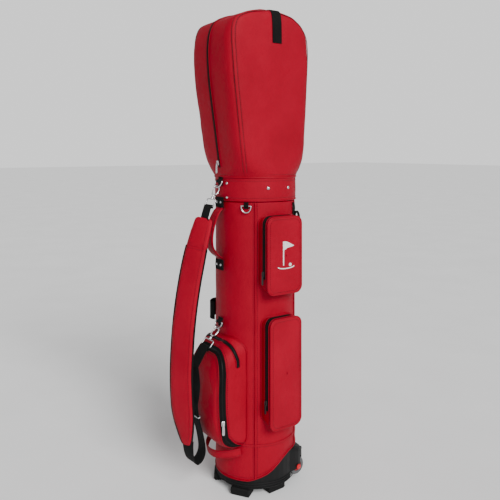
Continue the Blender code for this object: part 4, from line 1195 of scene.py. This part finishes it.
def make_loops():
    flat = mirrored_line(SLEEVE_HALF) + np.array([0, 0, SLEEVE_Z])
    line = about_z(evened(flat, 0.002), SLEEVE_TURN)
    n = away_from(unit(np.cross(tangents(line), UP)), line, np.array([-0.073, -0.073, SLEEVE_Z]))
    path = line - n * 0.001
    band("umbrella_sleeve", path, n, SLEEVE_WIDTH, 0.0019, node_name="umbrella_strap")
    band_stitches("umbrella_sleeve", path, n, SLEEVE_WIDTH, 0.0019, WEBBING)
    flat = evened(mirrored_line(FOOT_LOOP_HALF, ((0.0, -0.1450),)), 0.0025)
    n = away_from(unit(np.cross(tangents(flat), UP)), flat, np.array([0, -0.09, 0]))
    c, s = math.cos(FOOT_LOOP_TILT), math.sin(FOOT_LOOP_TILT)
    tilt = np.array([[1, 0, 0], [0, c, -s], [0, s, c]])
    line = flat @ tilt.T + np.array([0, 0, FOOT_LOOP_Z + 0.0890 * s])
    n = n @ tilt.T
    path = line - n * 0.0014
    leather = {"mat": LEATHER, "slot": "red_leather", "crown": 0.0005}
    band("umbrella_foot_band", path, n, FOOT_LOOP_WIDTH, 0.0024, node_name="umbrella_foot_loop", **leather)
    band_stitches("umbrella_foot_band", path, n, FOOT_LOOP_WIDTH, 0.0024 + 0.0005 * 0.6, THREAD)
    for k, sign in SIDES:
        cord(f"umbrella_foot_piping_{k}", beside(line, n, sign * 0.0098), 0.0011, PIPING, "bag", sides=8)
    z = np.linspace(0.712, 0.742, 16)
    a = np.full_like(z, 32.0)
    line = tube_point(a, z, 0.0012 + 0.0026 * np.sin(np.linspace(0, math.pi, 16)))
    band("side_keeper", line, tube_normal(a, z), 0.012, 0.0018, node_name="side_loop")
    make_pocket_tag()


def make_pocket_tag():
    """The little webbing tag at the end of the upper pocket's zip."""
    upper = POCKETS["upper_pocket"]
    near, centre, far = (box_surface(upper)(d, 7.0) for d in (0.113, 0.121, 0.129))
    rises = ((near, 0.0, 0.0004), (near, 0.002, 0.010), (centre, 0.0, 0.016))
    rises += ((far, 0.0, 0.010), (far, 0.002, 0.0004))
    loop = np.array([foot + np.array([x, 0.0, z]) for foot, x, z in rises])
    line = evened(catmull(loop, 8), 0.0015)
    n = unit(np.cross(tangents(line), about_z(np.array([0, 1.0, 0]), upper[0])))
    band("upper_pocket_tag", line, away_from(n, line, centre), 0.008, 0.0012)


# ---------------------------------------------------------------- rings, hooks and strap
RING_Y = -0.121
RINGS = {"top": 0.783, "low": 0.418}
RING_TILT = math.radians(22)
RING_DROP = 0.017
WIRE_R = 0.0016
TOWEL_DEGREES = -47.0
HOOK_ANGLES = {"top": math.radians(-62), "low": math.radians(-49)}
EYE_HALF = 0.021
EYE_NEAR, EYE_FAR = 0.0335, 0.0520
WEBBING_HALF = 0.018
WEBBING_THICK = 0.0018


def d_shape(half, drop):
    a = np.linspace(0, math.pi, 48)
    bow = np.stack([half * np.cos(a), 0 * a, -drop * np.sin(a) ** 0.8], -1)
    bar = np.stack([np.linspace(-half, half, 14)[1:-1], np.zeros(12), np.zeros(12)], -1)
    return np.concatenate([bow, bar])


def wire(name, path, radius, body, node_name, **how):
    made = cord(name, path, radius, STEEL, body, step=0.001, **how)
    stand_for(made, node_name)


def keeper_path(centre, root, reaches, steps):
    """A line (y, z) round a bar at a centre, with both ends flat on a root; reaches are heights from it."""
    y, z = centre
    r = WIRE_R + 0.0009
    wrap = [(y + r * math.cos(x), z + r * math.sin(x)) for x in np.radians(np.linspace(90, 270, steps))]
    ends = [(root, z + reach) for reach in reaches]
    return upright(ends[:2] + wrap + ends[2:])


def make_rings():
    for label, height in RINGS.items():
        drop = RING_DROP
        bar = np.array([0.0, RING_Y + drop * math.sin(RING_TILT), height + drop * math.cos(RING_TILT)])
        path = turned_path(d_shape(0.015, drop), "X", -RING_TILT) + bar
        wire(f"strap_ring_{label}", path, WIRE_R, "bag", f"d_ring_{label}", closed=True, sides=14)
        root = -TUBE_R - 0.0030
        path = keeper_path(bar[1:], root, (0.0115, 0.006, -0.006, -0.0115), 16)
        line = evened(path, 0.0012)
        n = unit(np.cross(ACROSS, tangents(line)))
        n = away_from(n, line, np.array([0, root + 0.004, bar[2]]))
        band(f"ring_keeper_{label}", line - n * 0.0006, n, 0.020, 0.0016, node_name=f"ring_tab_{label}")
        for off in (-0.0105, 0.0105):
            cross_row(f"ring_keeper_{label}_{off > 0}", 0.0085, 6, root - 0.0016, bar[2] + off, 0.0035)
    turn = math.radians(TOWEL_DEGREES + 90)
    pivot = tube_point(np.float64(TOWEL_DEGREES), 0.7385, 0.0050)
    path = turned_path(d_shape(0.0125, RING_DROP), "Z", turn) + pivot
    wire("towel_hanger", path, WIRE_R, "towel_ring", "towel_ring", closed=True, sides=14)
    path = keeper_path((0.0, 0.0), 0.0030, (0.0085, 0.0040, -0.0040, -0.0075), 14)
    line = evened(turned_path(path, "Z", turn) + pivot, 0.001)
    n = unit(np.cross(turned_path(ACROSS[None], "Z", turn)[0], tangents(line)))
    n = away_from(n, line, pivot)
    band("towel_keeper", line - n * 0.0006, n, 0.0120, 0.0015, node_name="towel_ring_tab")


def chain_point(label, along, across=0.0):
    """A point (y, z) of a hook, along it from its ring and across it."""
    c, s = math.cos(HOOK_ANGLES[label]), math.sin(HOOK_ANGLES[label])
    return (RING_Y - along * c - across * s, RINGS[label] + along * s - across * c)


HOOK_BEND = (
    (0.0060, -0.0078), (-0.0010, -0.0072), (-0.0042, 0.0), (-0.0010, 0.0072), (0.0070, 0.0088),
    (0.0160, 0.0072), (0.0205, 0.0030), (0.0230, 0.0), (0.0256, 0.0),
)
GATE = ((0.0215, -0.0052), (0.0098, -0.0078))
GATE_PIN = ((0.0014, -0.0030), (0.0018, -0.0027), (0.0018, 0.0027), (0.0014, 0.0030))
BARREL = (
    (0.0024, -0.0036), (0.0036, -0.0032), (0.0040, -0.0026), (0.0040, -0.0008), (0.0034, -0.0004),
    (0.0034, 0.0002), (0.0040, 0.0006), (0.0040, 0.0026), (0.0034, 0.0033), (0.0018, 0.0036),
)


def make_hook(label):
    """A spring hook, its gate and swivel, and the eye that holds the webbing. Gives the eye's far bar."""

    def spots(points):
        return upright([chain_point(label, *point) for point in points])

    hook, gate = f"hook_{label}", f"gate_{label}"
    path = catmull(spots(HOOK_BEND), 10)
    wire(f"spring_hook_{label}", path, 0.0020, hook, f"snap_hook_{label}", first=ACROSS)
    wire(f"spring_gate_{label}", spots(GATE), 0.0014, gate, f"snap_gate_{label}", first=ACROSS)
    pin, middle, start, end = spots(((0.0215, -0.0040), (0.0300, 0.0), (0.0, 0.0), (1.0, 0.0)))
    place = Matrix.Translation(Vector(pin + SHIFT)) @ spin(QUARTER, "Y")
    lathe(f"gate_pin_{label}", GATE_PIN, STEEL, hook, place, 20)
    turn = Vector(end - start).to_track_quat("Z", "Y").to_matrix().to_4x4()
    place = Matrix.Translation(Vector(middle + SHIFT)) @ turn
    lathe(f"swivel_barrel_{label}", BARREL, STEEL, "strap", place, 28)
    corners = [(EYE_NEAR, -1), (EYE_NEAR, 1), (EYE_FAR, 1), (EYE_FAR, -1)]
    frame_path = np.array([(side * EYE_HALF, *chain_point(label, along)) for along, side in corners])
    path = rounded_loop(frame_path, 0.0040)
    wire(f"webbing_eye_{label}", path, WIRE_R, "strap", f"swivel_eye_{label}", closed=True, sides=14)
    return chain_point(label, EYE_FAR)


def rounded_loop(corners, radius):
    """A closed frame whose corners are turned on a radius."""
    steps = 7
    out = []
    n = len(corners)
    for i in range(n):
        here, before, after = corners[i], corners[i - 1], corners[(i + 1) % n]
        a = here + unit(before - here) * radius
        c = here + unit(after - here) * radius
        for k in range(steps + 1):
            t = k / steps
            out.append((1 - t) ** 2 * a + 2 * t * (1 - t) * here + t**2 * c)
    return np.array(out)


PAD_PATH = (
    (-0.159, 0.706), (-0.179, 0.640), (-0.202, 0.540), (-0.217, 0.440), (-0.224, 0.331), (-0.221, 0.240),
    (-0.209, 0.142),
)
PAD_TWIST = math.radians(25)
PAD_SEAM = 0.135  # share of its length that a red cap covers
PAD_WIDTH = 0.066
PAD_THICK = 0.016
PAD_FRONT = 0.58  # share of its thickness in front of the webbing


def pad_shape(share):
    top = np.sin(np.minimum(share / 0.22, 1.0) * math.pi / 2)
    foot = np.sin(np.minimum((1 - share) / 0.18, 1.0) * math.pi / 2)
    width = PAD_WIDTH * (0.78 + 0.22 * top) * (0.42 + 0.58 * foot)
    thick = PAD_THICK * (0.45 + 0.55 * top) * (0.45 + 0.55 * foot)
    tip = np.clip(np.minimum(share / 0.016, (1 - share) / 0.03), 0, 1)
    return width * (0.72 + 0.28 * np.sqrt(1 - (1 - tip) ** 2)), thick


PAD_STEPS = 40


def make_pad():
    line = evened(catmull(upright(PAD_PATH), 20), 0.003)
    share = np.linspace(0, 1, len(line))
    t = tangents(line)
    side = np.array([math.cos(PAD_TWIST), math.sin(PAD_TWIST), 0.0])
    across = unit(side - t * (t @ side)[:, None])
    n = frontward(unit(np.cross(t, across)))
    width, thick = pad_shape(share)
    groove = 1 - 0.20 * np.exp(-(((share - PAD_SEAM) / 0.010) ** 2))
    rows = []
    for s in range(PAD_STEPS):
        out, up = squashed(2 * math.pi * s / PAD_STEPS, 0.6, 0.85)
        lift = thick * PAD_FRONT * 2 * up * groove if up > 0 else thick * (1 - PAD_FRONT) * 2 * up
        rows.append(line + across * (out * width)[:, None] + n * lift[:, None])
    points = np.stack(rows, axis=1)
    normals = unit(points - line[:, None])
    points = crumpled(points, normals, 0.0011, 20.0, 6.0, 3)
    cols = [int(math.sin(2 * math.pi * (s + 0.5) / PAD_STEPS) < 0.30) for s in range(PAD_STEPS)]
    pad = grid("shoulder_pad_cushion", points, [LEATHER, WEBBING], "strap", caps=True, cols=cols)
    stand_for(pad, "shoulder_pad")
    at = int(len(line) * PAD_SEAM)
    cap = points[: at + 1] + normals[: at + 1] * 0.0010
    grid("shoulder_pad_cap", cap, LEATHER, "strap", caps=True)
    for k, sign in SIDES:
        edge = line + across * (sign * (width / 2 + 0.0006))[:, None] + n * (thick * 0.12)[:, None]
        cord(f"shoulder_pad_piping_{k}", edge[at:], 0.0022, WEBBING, "strap", sides=10)
        lift = n * (thick * PAD_FRONT * 0.93)[:, None]
        row = line + across * (sign * (width / 2 - 0.0075))[:, None] + lift
        stitches(f"shoulder_pad_stitch_{k}", row[6:-6], n[6:-6], THREAD, "strap")
    for k, i in enumerate((at - 2, at + 2)):
        reach = np.linspace(-0.5, 0.5, 12)[:, None] * (width[i] - 0.014)
        row = line[i] + across[i] * reach + n[i] * thick[i] * 0.54
        stitches(f"shoulder_pad_cross_{k}", row, repeated(n[i], 12), THREAD, "strap")


HAIRPIN_R = 0.0015 + 0.0004 + WEBBING_THICK / 2


def hairpin(eye, degrees, run):
    """Points (y, z) up to an eye's bar, round it and back."""
    along = np.array([math.cos(math.radians(degrees)), math.sin(math.radians(degrees))])
    side = np.array([-along[1], along[0]])
    centre = np.array(eye)
    made = [centre - side * HAIRPIN_R + along * run]
    for step in range(13):
        turn = math.pi * step / 12
        made.append(centre - side * HAIRPIN_R * math.cos(turn) - along * HAIRPIN_R * math.sin(turn))
    made.append(centre + side * HAIRPIN_R + along * run)
    return upright(made)


def webbing_run(name, node_name, path, twist):
    """Flat webbing along a line of its middle; twist gives the turn of its width about the vertical."""
    line = evened(np.hstack([path, twist[:, None]]), 0.0025)
    points, angle = line[:, :3], line[:, 3]
    across = square_to(tangents(points), np.stack([np.cos(angle), np.sin(angle), 0 * angle], -1))
    n = unit(np.cross(across, tangents(points)))
    section = np.array(band_section(2 * WEBBING_HALF, WEBBING_THICK, 0.0001, 0.0))
    made = sweep(name, points, n, section - np.array([0, WEBBING_THICK / 2]), WEBBING, "strap")
    stand_for(made, node_name)


# The slack below the pad, as (y, z), and its twist in degrees at places along those points.
SLACK = (
    (-0.2055, 0.152), (-0.2055, 0.133), (-0.2010, 0.108), (-0.1900, 0.092), (-0.1740, 0.098),
    (-0.1660, 0.120), (-0.1720, 0.160), (-0.1850, 0.210), (-0.1905, 0.270), (-0.1890, 0.335),
)
TWIST_PLACES = np.array([0.0, 1.0, 2.0, 3.0, 4.0, 7.5, 8.3, 9.0])
TWIST_DEGREES = np.array([18.0, 16.0, 10.0, 4.0, 0.0, 0.0, 44.0, 52.0])
SLIDE_SPOT = np.array([0.0, -0.1850, 0.2100])
SLIDE_CLEAR = 0.0030


def make_strap():
    top_eye = make_hook("top")
    low_eye = make_hook("low")
    make_pad()
    y, z = PAD_PATH[0]
    start = upright([(y + 0.0004 + 0.004, z - 0.012), (y + 0.0004, z + 0.0016)])
    path = np.concatenate([start, hairpin(top_eye, -114, 0.006)])
    webbing_run("strap_band_top", "strap_webbing_top", path, np.zeros(len(path)))
    line = catmull(upright(SLACK), 10)
    places = np.linspace(0, len(SLACK) - 1, len(line))
    twist = np.interp(places, TWIST_PLACES, np.radians(TWIST_DEGREES))
    twist[-10:] *= np.linspace(1, 0.1, 10)
    pin = hairpin(low_eye, -128, 0.010)
    path = np.concatenate([line, pin])
    webbing_run("strap_band_low", "strap_webbing_low", path, np.concatenate([twist, np.zeros(len(pin))]))
    half, deep = WEBBING_HALF + SLIDE_CLEAR, WEBBING_THICK / 2 + SLIDE_CLEAR
    corners = np.array([(-half, -deep, 0), (half, -deep, 0), (half, deep, 0), (-half, deep, 0)])
    path = turned_path(rounded_loop(corners, 0.0025), "X", math.radians(12)) + SLIDE_SPOT
    wire("length_slide", path, 0.0014, "adjuster", "strap_adjuster", closed=True)


# ---------------------------------------------------------------- base, wheels, inside
HOUSING_RIB = (0.0036, 0.0034, 0.036)
SCREW = ((0.0038, 0.0), (0.0040, 0.0006), (0.0034, 0.0016), (0.0012, 0.0017), (0.0008, 0.0009))


def repaint(node_name, mat):
    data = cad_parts[node_name].data
    data.materials.clear()
    data.materials.append(mat)


def make_base():
    repaint("base_tub", PLASTIC)
    turn = full_turn(200)
    for k, z in enumerate((0.0225, 0.0285, 0.0345)):
        cord(f"tub_ring_{k}", tube_ring(turn, z, 0.1050), 0.0010, PLASTIC, "bag", closed=True, sides=8)
    back = np.array(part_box("base_tub")[1])[1]
    for k in range(7):
        place = moved_to(-0.054 + 0.018 * k, back + 0.0002, 0.050)
        local_box(f"housing_rib_{k}", HOUSING_RIB, 0.0012, PLASTIC, "bag", place)
    for side in (-1, 1):
        for z in (0.030, 0.070):
            place = moved_to(side * 0.063, back + 0.0001, z) @ spin(-QUARTER, "X")
            lathe(f"housing_screw_{side}_{int(z * 1000)}", SCREW, STEEL, "bag", place, 24)
    for where, (x, y) in {"front": (0.052, -0.078), "side": (0.080, 0.002)}.items():
        for side_name, side in (("left", -1), ("right", 1)):
            make_foot(f"{where}_{side_name}", side * x, y)


def make_foot(spot, x, y):
    """A ribbed rubber foot that faces away from the tube's axis, with treads below."""
    height = 0.0196
    place = moved_to(x, y + AXIS_Y, 0) @ spin(math.atan2(x, -y), "Z")

    def block(name, size, radius, where, segments):
        return local_box(name, size, radius, RUBBER, "bag", place @ moved_to(*where), segments)

    body = block(f"foot_block_{spot}", (0.052, 0.032, height - 0.002), 0.0035, (0, 0, height / 2 + 0.001), 4)
    stand_for(body, f"foot_{spot}")
    for k in range(5):
        where = (0, -0.0115 + 0.00575 * k, 0.0016)
        block(f"foot_tread_{spot}_{k}", (0.048, 0.0036, 0.0030), 0.0008, where, 2)
    for k in range(3):
        size = (0.050 - 0.001 * k, 0.0335, 0.0014)
        block(f"foot_rib_{spot}_{k}", size, 0.0005, (0, 0, 0.006 + 0.0045 * k), 2)


WHEEL_HALF = 0.0085
WHEEL_SPOT = (0.080, 0.073 + AXIS_Y, 0.042)
TREAD_R = 0.0235
GROOVE_R = 0.0227
TYRE_INNER = 0.0136
BUTTON = (
    (0.0064, -0.0015), (0.0066, -0.0006), (0.0062, 0.0006), (0.0048, 0.0013), (0.0034, 0.0015),
    (0.0028, 0.0010), (0.0010, 0.0010),
)


def tyre_profile():
    h = WHEEL_HALF
    shoulder = [(0.0198, h), (0.0214, h - 0.0006), (GROOVE_R, h - 0.0018), (0.0234, h - 0.0034)]
    profile = [(TYRE_INNER, -h)] + [(r, -z) for r, z in shoulder]
    for z in (-0.0036, 0.0, 0.0036):
        profile += [(TREAD_R, z - 0.0011), (GROOVE_R, z - 0.0006)]
        profile += [(GROOVE_R, z + 0.0006), (TREAD_R, z + 0.0011)]
    return profile + shoulder[::-1] + [(TYRE_INNER, h), (TYRE_INNER, -h)]


def make_wheels():
    h = WHEEL_HALF
    cap = ((0.0134, -h + 0.0010), (0.0134, h - 0.0016), (0.0126, h - 0.0008), (0.0108, h - 0.0010))
    cap += ((0.0100, h - 0.0024), (0.0060, h - 0.0028), (0.0052, h - 0.0010), (0.0040, h - 0.0004))
    cap += ((0.0036, h - 0.0004),)
    for side_name, side in (("left", -1), ("right", 1)):
        body = f"wheel_{side_name}"
        out = spin(QUARTER * side, "Y")
        place = moved_to(side * WHEEL_SPOT[0], *WHEEL_SPOT[1:]) @ out
        tyre = lathe(f"tyre_tread_{side_name}", tyre_profile(), TYRE, body, place, 96)
        stand_for(tyre, f"tyre_{side_name}")
        hub = lathe(f"hub_cap_{side_name}", cap, HUB, body, place, 64)
        stand_for(hub, f"hub_{side_name}")
        for k in range(6):
            spoke = place @ spin(math.radians(60 * k), "Z") @ moved_to(0.0078, 0, h - 0.0022)
            local_box(f"hub_spoke_{side_name}_{k}", (0.0060, 0.0026, 0.0030), 0.0007, HUB, body, spoke, 2)
        place = Matrix.Translation(box_middle(f"axle_cap_{side_name}")) @ out
        button = lathe(f"axle_button_{side_name}", BUTTON, HUB, "bag", place, 40)
        stand_for(button, f"axle_cap_{side_name}")
    repaint("wheel_axle", STEEL)


LINER_OUT, LINER_IN = 0.1045, 0.1030
LINER_LOW, LINER_RISE = 0.101, 0.7045
RIM = (
    (0.1035, 0.8064), (0.1035, 0.8150), (0.1028, 0.8170), (0.1012, 0.8180), (0.0986, 0.8180),
    (0.0970, 0.8170), (0.0960, 0.8150), (0.0960, 0.8064), (0.1035, 0.8064),
)
DIVIDER_Z = 0.796
BOSS = ((0.004, -0.0072), (0.0085, -0.0066), (0.0095, 0.0), (0.0085, 0.0066), (0.004, 0.0072))


def make_inside():
    turn = full_turn(200)
    rows = [(LINER_LOW + LINER_RISE * k / 30, LINER_OUT) for k in range(31)]
    rows += [(0.8058, (LINER_OUT + LINER_IN) / 2)]
    rows += [(0.8055 - LINER_RISE * k / 30, LINER_IN) for k in range(31)]
    points = np.array([tube_ring(turn, z, r) for z, r in rows])
    liner = grid("club_sleeve", points, LINING, "bag", wrap_u=True)
    stand_for(liner, "body_liner")
    rim = lathe("mouth_rim", RIM, PLASTIC, "bag", moved_to(0, AXIS_Y, 0), 120)
    stand_for(rim, "top_rim")
    bar = np.linspace(-0.1010, 0.1010, 80)
    a = full_turn(16, 2 * math.pi)
    section = np.stack([0.0042 * np.cos(a), 0.0068 * np.sin(a)], -1)
    pinch = 1 - 0.35 * np.exp(-((bar / 0.006) ** 2))
    sec = np.repeat(section[None], len(bar), axis=0) * pinch[:, None, None]
    for k, angle in enumerate((0.0, QUARTER)):
        line = bar[:, None] * np.array([math.cos(angle), math.sin(angle), 0.0]) + UP * DIVIDER_Z
        made = sweep(f"divider_bar_{k}", line, repeated(UP, len(bar)), sec, LINING, "bag")
        if k == 0:
            stand_for(made, "club_divider")
    lathe("divider_boss", BOSS, LINING, "bag", moved_to(0, AXIS_Y, DIVIDER_Z), 40)


MARK_BALL_R = 0.0042


def make_mark():
    """An embroidered flag, hole and ball on the upper pocket."""
    turn, half, low, high, _ = POCKETS["upper_pocket"]
    centre = (low + high) / 2
    middle = centre + 0.004
    wave = [k / 11 for k in range(12)]

    def put(y, z, out=0.0):
        f = 1 - max(abs(y) / half, abs(z - centre) / ((high - low) / 2))
        crown = POCKET_CROWN * (1 - (1 - f) ** CROWN_POWER)
        return about_z(np.array([POCKET_FACE + crown + 0.0007 + out, y, z]), turn)

    def patch(name, outline):
        outline = np.array(outline)
        core = outline.mean(axis=0)
        steps = [(1.0, -0.0012), (1.0, 0.0), (0.94, 0.0006)] + [(f, 0.0007) for f in (0.75, 0.5, 0.25, 0.05)]
        rings = [[put(*(core + (p - core) * f), out) for p in outline] for f, out in steps]
        grid(name, np.array(rings), MARK, "bag", caps=True, smooth=60)

    def line_patch(name, points, width):
        path = evened(catmull(np.array([put(y, z) for y, z in points]), 6), 0.0015)
        n = repeated(about_z(ACROSS, turn), len(path))
        sweep(name, path, n, band_section(width, 0.0006, 0.0004), MARK, "bag")

    line_patch("mark_pole", [(-0.008, middle + z) for z in (-0.028, 0.0, 0.032)], 0.0030)
    flag = [(-0.0055 + 0.031 * s, middle + 0.032 - 0.010 * s + 0.0016 * math.sin(s * 5)) for s in wave]
    back = [1 - s for s in wave]
    flag += [(-0.0055 + 0.031 * s, middle + 0.010 + 0.011 * s + 0.0016 * math.sin(s * 5)) for s in back]
    patch("mark_flag", flag)
    arc = np.linspace(math.pi * 1.08, math.pi * 1.92, 14)
    green = [(0.026 * math.cos(x), middle - 0.030 + 0.0062 * math.sin(x)) for x in arc]
    line_patch("mark_green", green, 0.0024)
    around = full_turn(20, 2 * math.pi)
    ball = [(0.013 + MARK_BALL_R * math.cos(x), middle - 0.0275 + MARK_BALL_R * math.sin(x)) for x in around]
    patch("mark_ball", ball)


# ---------------------------------------------------------------- camera, light, floor
CAMERA_REACH = 1.625
CAMERA_SIDE, CAMERA_FRONT = 0.819, 0.574
SUN_FROM = (0.84, -0.10, 0.53)
STRIP_SPOT, STRIP_AIM = (1.8, -1.9, 1.5), (0, 0.05, 0.6)
WHITE = (1.0, 1.0, 1.0, 1.0)


def make_floor():
    s = Shader("studio_floor")
    tint = s.ramp(s.noise(3.0, 3.0).outputs["Fac"], (0.3, 0.86), (0.7, 0.90))
    s.links.new(tint, s.surface.inputs["Base Color"])
    s.surface.inputs["Roughness"].default_value = 0.9
    s.surface.inputs["Specular IOR Level"].default_value = 0.1
    data = bpy.data.meshes.new("studio_floor")
    r = 30.0
    data.from_pydata([(-r, -r, 0), (r, -r, 0), (r, r, 0), (-r, r, 0)], [], [(0, 1, 2, 3)])
    data.materials.append(s.mat)
    linked("studio_floor", data)


def make_world():
    """A dim surround that lights the bag, and a brighter one that the camera sees."""
    world = bpy.data.worlds.new("studio_world")
    world.use_nodes = True
    tree = world.node_tree
    light = tree.nodes["Background"]
    seen = tree.nodes.new("ShaderNodeBackground")
    for lamp, strength in ((light, 0.42), (seen, 1.12)):
        lamp.inputs["Color"].default_value = WHITE
        lamp.inputs["Strength"].default_value = strength
    mix = tree.nodes.new("ShaderNodeMixShader")
    path = tree.nodes.new("ShaderNodeLightPath")
    sources = (path.outputs["Is Camera Ray"], light.outputs[0], seen.outputs[0])
    for k, source in enumerate(sources):
        tree.links.new(source, mix.inputs[k])
    tree.links.new(mix.outputs[0], tree.nodes["World Output"].inputs["Surface"])
    bpy.context.scene.world = world


def make_lights():
    sun = bpy.data.lights.new("key_sun", "SUN")
    sun.energy = 3.9
    sun.angle = math.radians(28)
    linked("key_sun", sun).rotation_euler = Vector(SUN_FROM).to_track_quat("Z", "Y").to_euler()
    strip = bpy.data.lights.new("strip_light", "AREA")
    strip.shape = "RECTANGLE"
    strip.size, strip.size_y = 0.35, 1.6
    strip.energy = 9
    made = linked("strip_light", strip)
    made.location = STRIP_SPOT
    made.rotation_euler = (Vector(STRIP_AIM) - Vector(STRIP_SPOT)).to_track_quat("-Z", "Y").to_euler()


def make_camera():
    data = bpy.data.cameras.new("catalogue_camera")
    data.sensor_width = 36.0
    data.lens = 43.2
    data.shift_x = -0.010
    data.shift_y = -0.200
    data.clip_start = 0.02
    camera = linked("catalogue_camera", data)
    camera.location = (CAMERA_SIDE * CAMERA_REACH, AXIS_Y - CAMERA_FRONT * CAMERA_REACH, 0.880)
    camera.rotation_euler = (QUARTER, 0, math.radians(55))
    bpy.context.scene.camera = camera


make_skin()
make_collar()
make_snaps()
make_hood()
for pocket_name, pocket_values in POCKETS.items():
    make_box_pocket(pocket_name, pocket_values)
make_ball_pocket()
make_handle()
make_loops()
make_rings()
make_strap()
make_base()
make_wheels()
make_inside()
make_mark()
make_floor()
make_world()
make_lights()
make_camera()
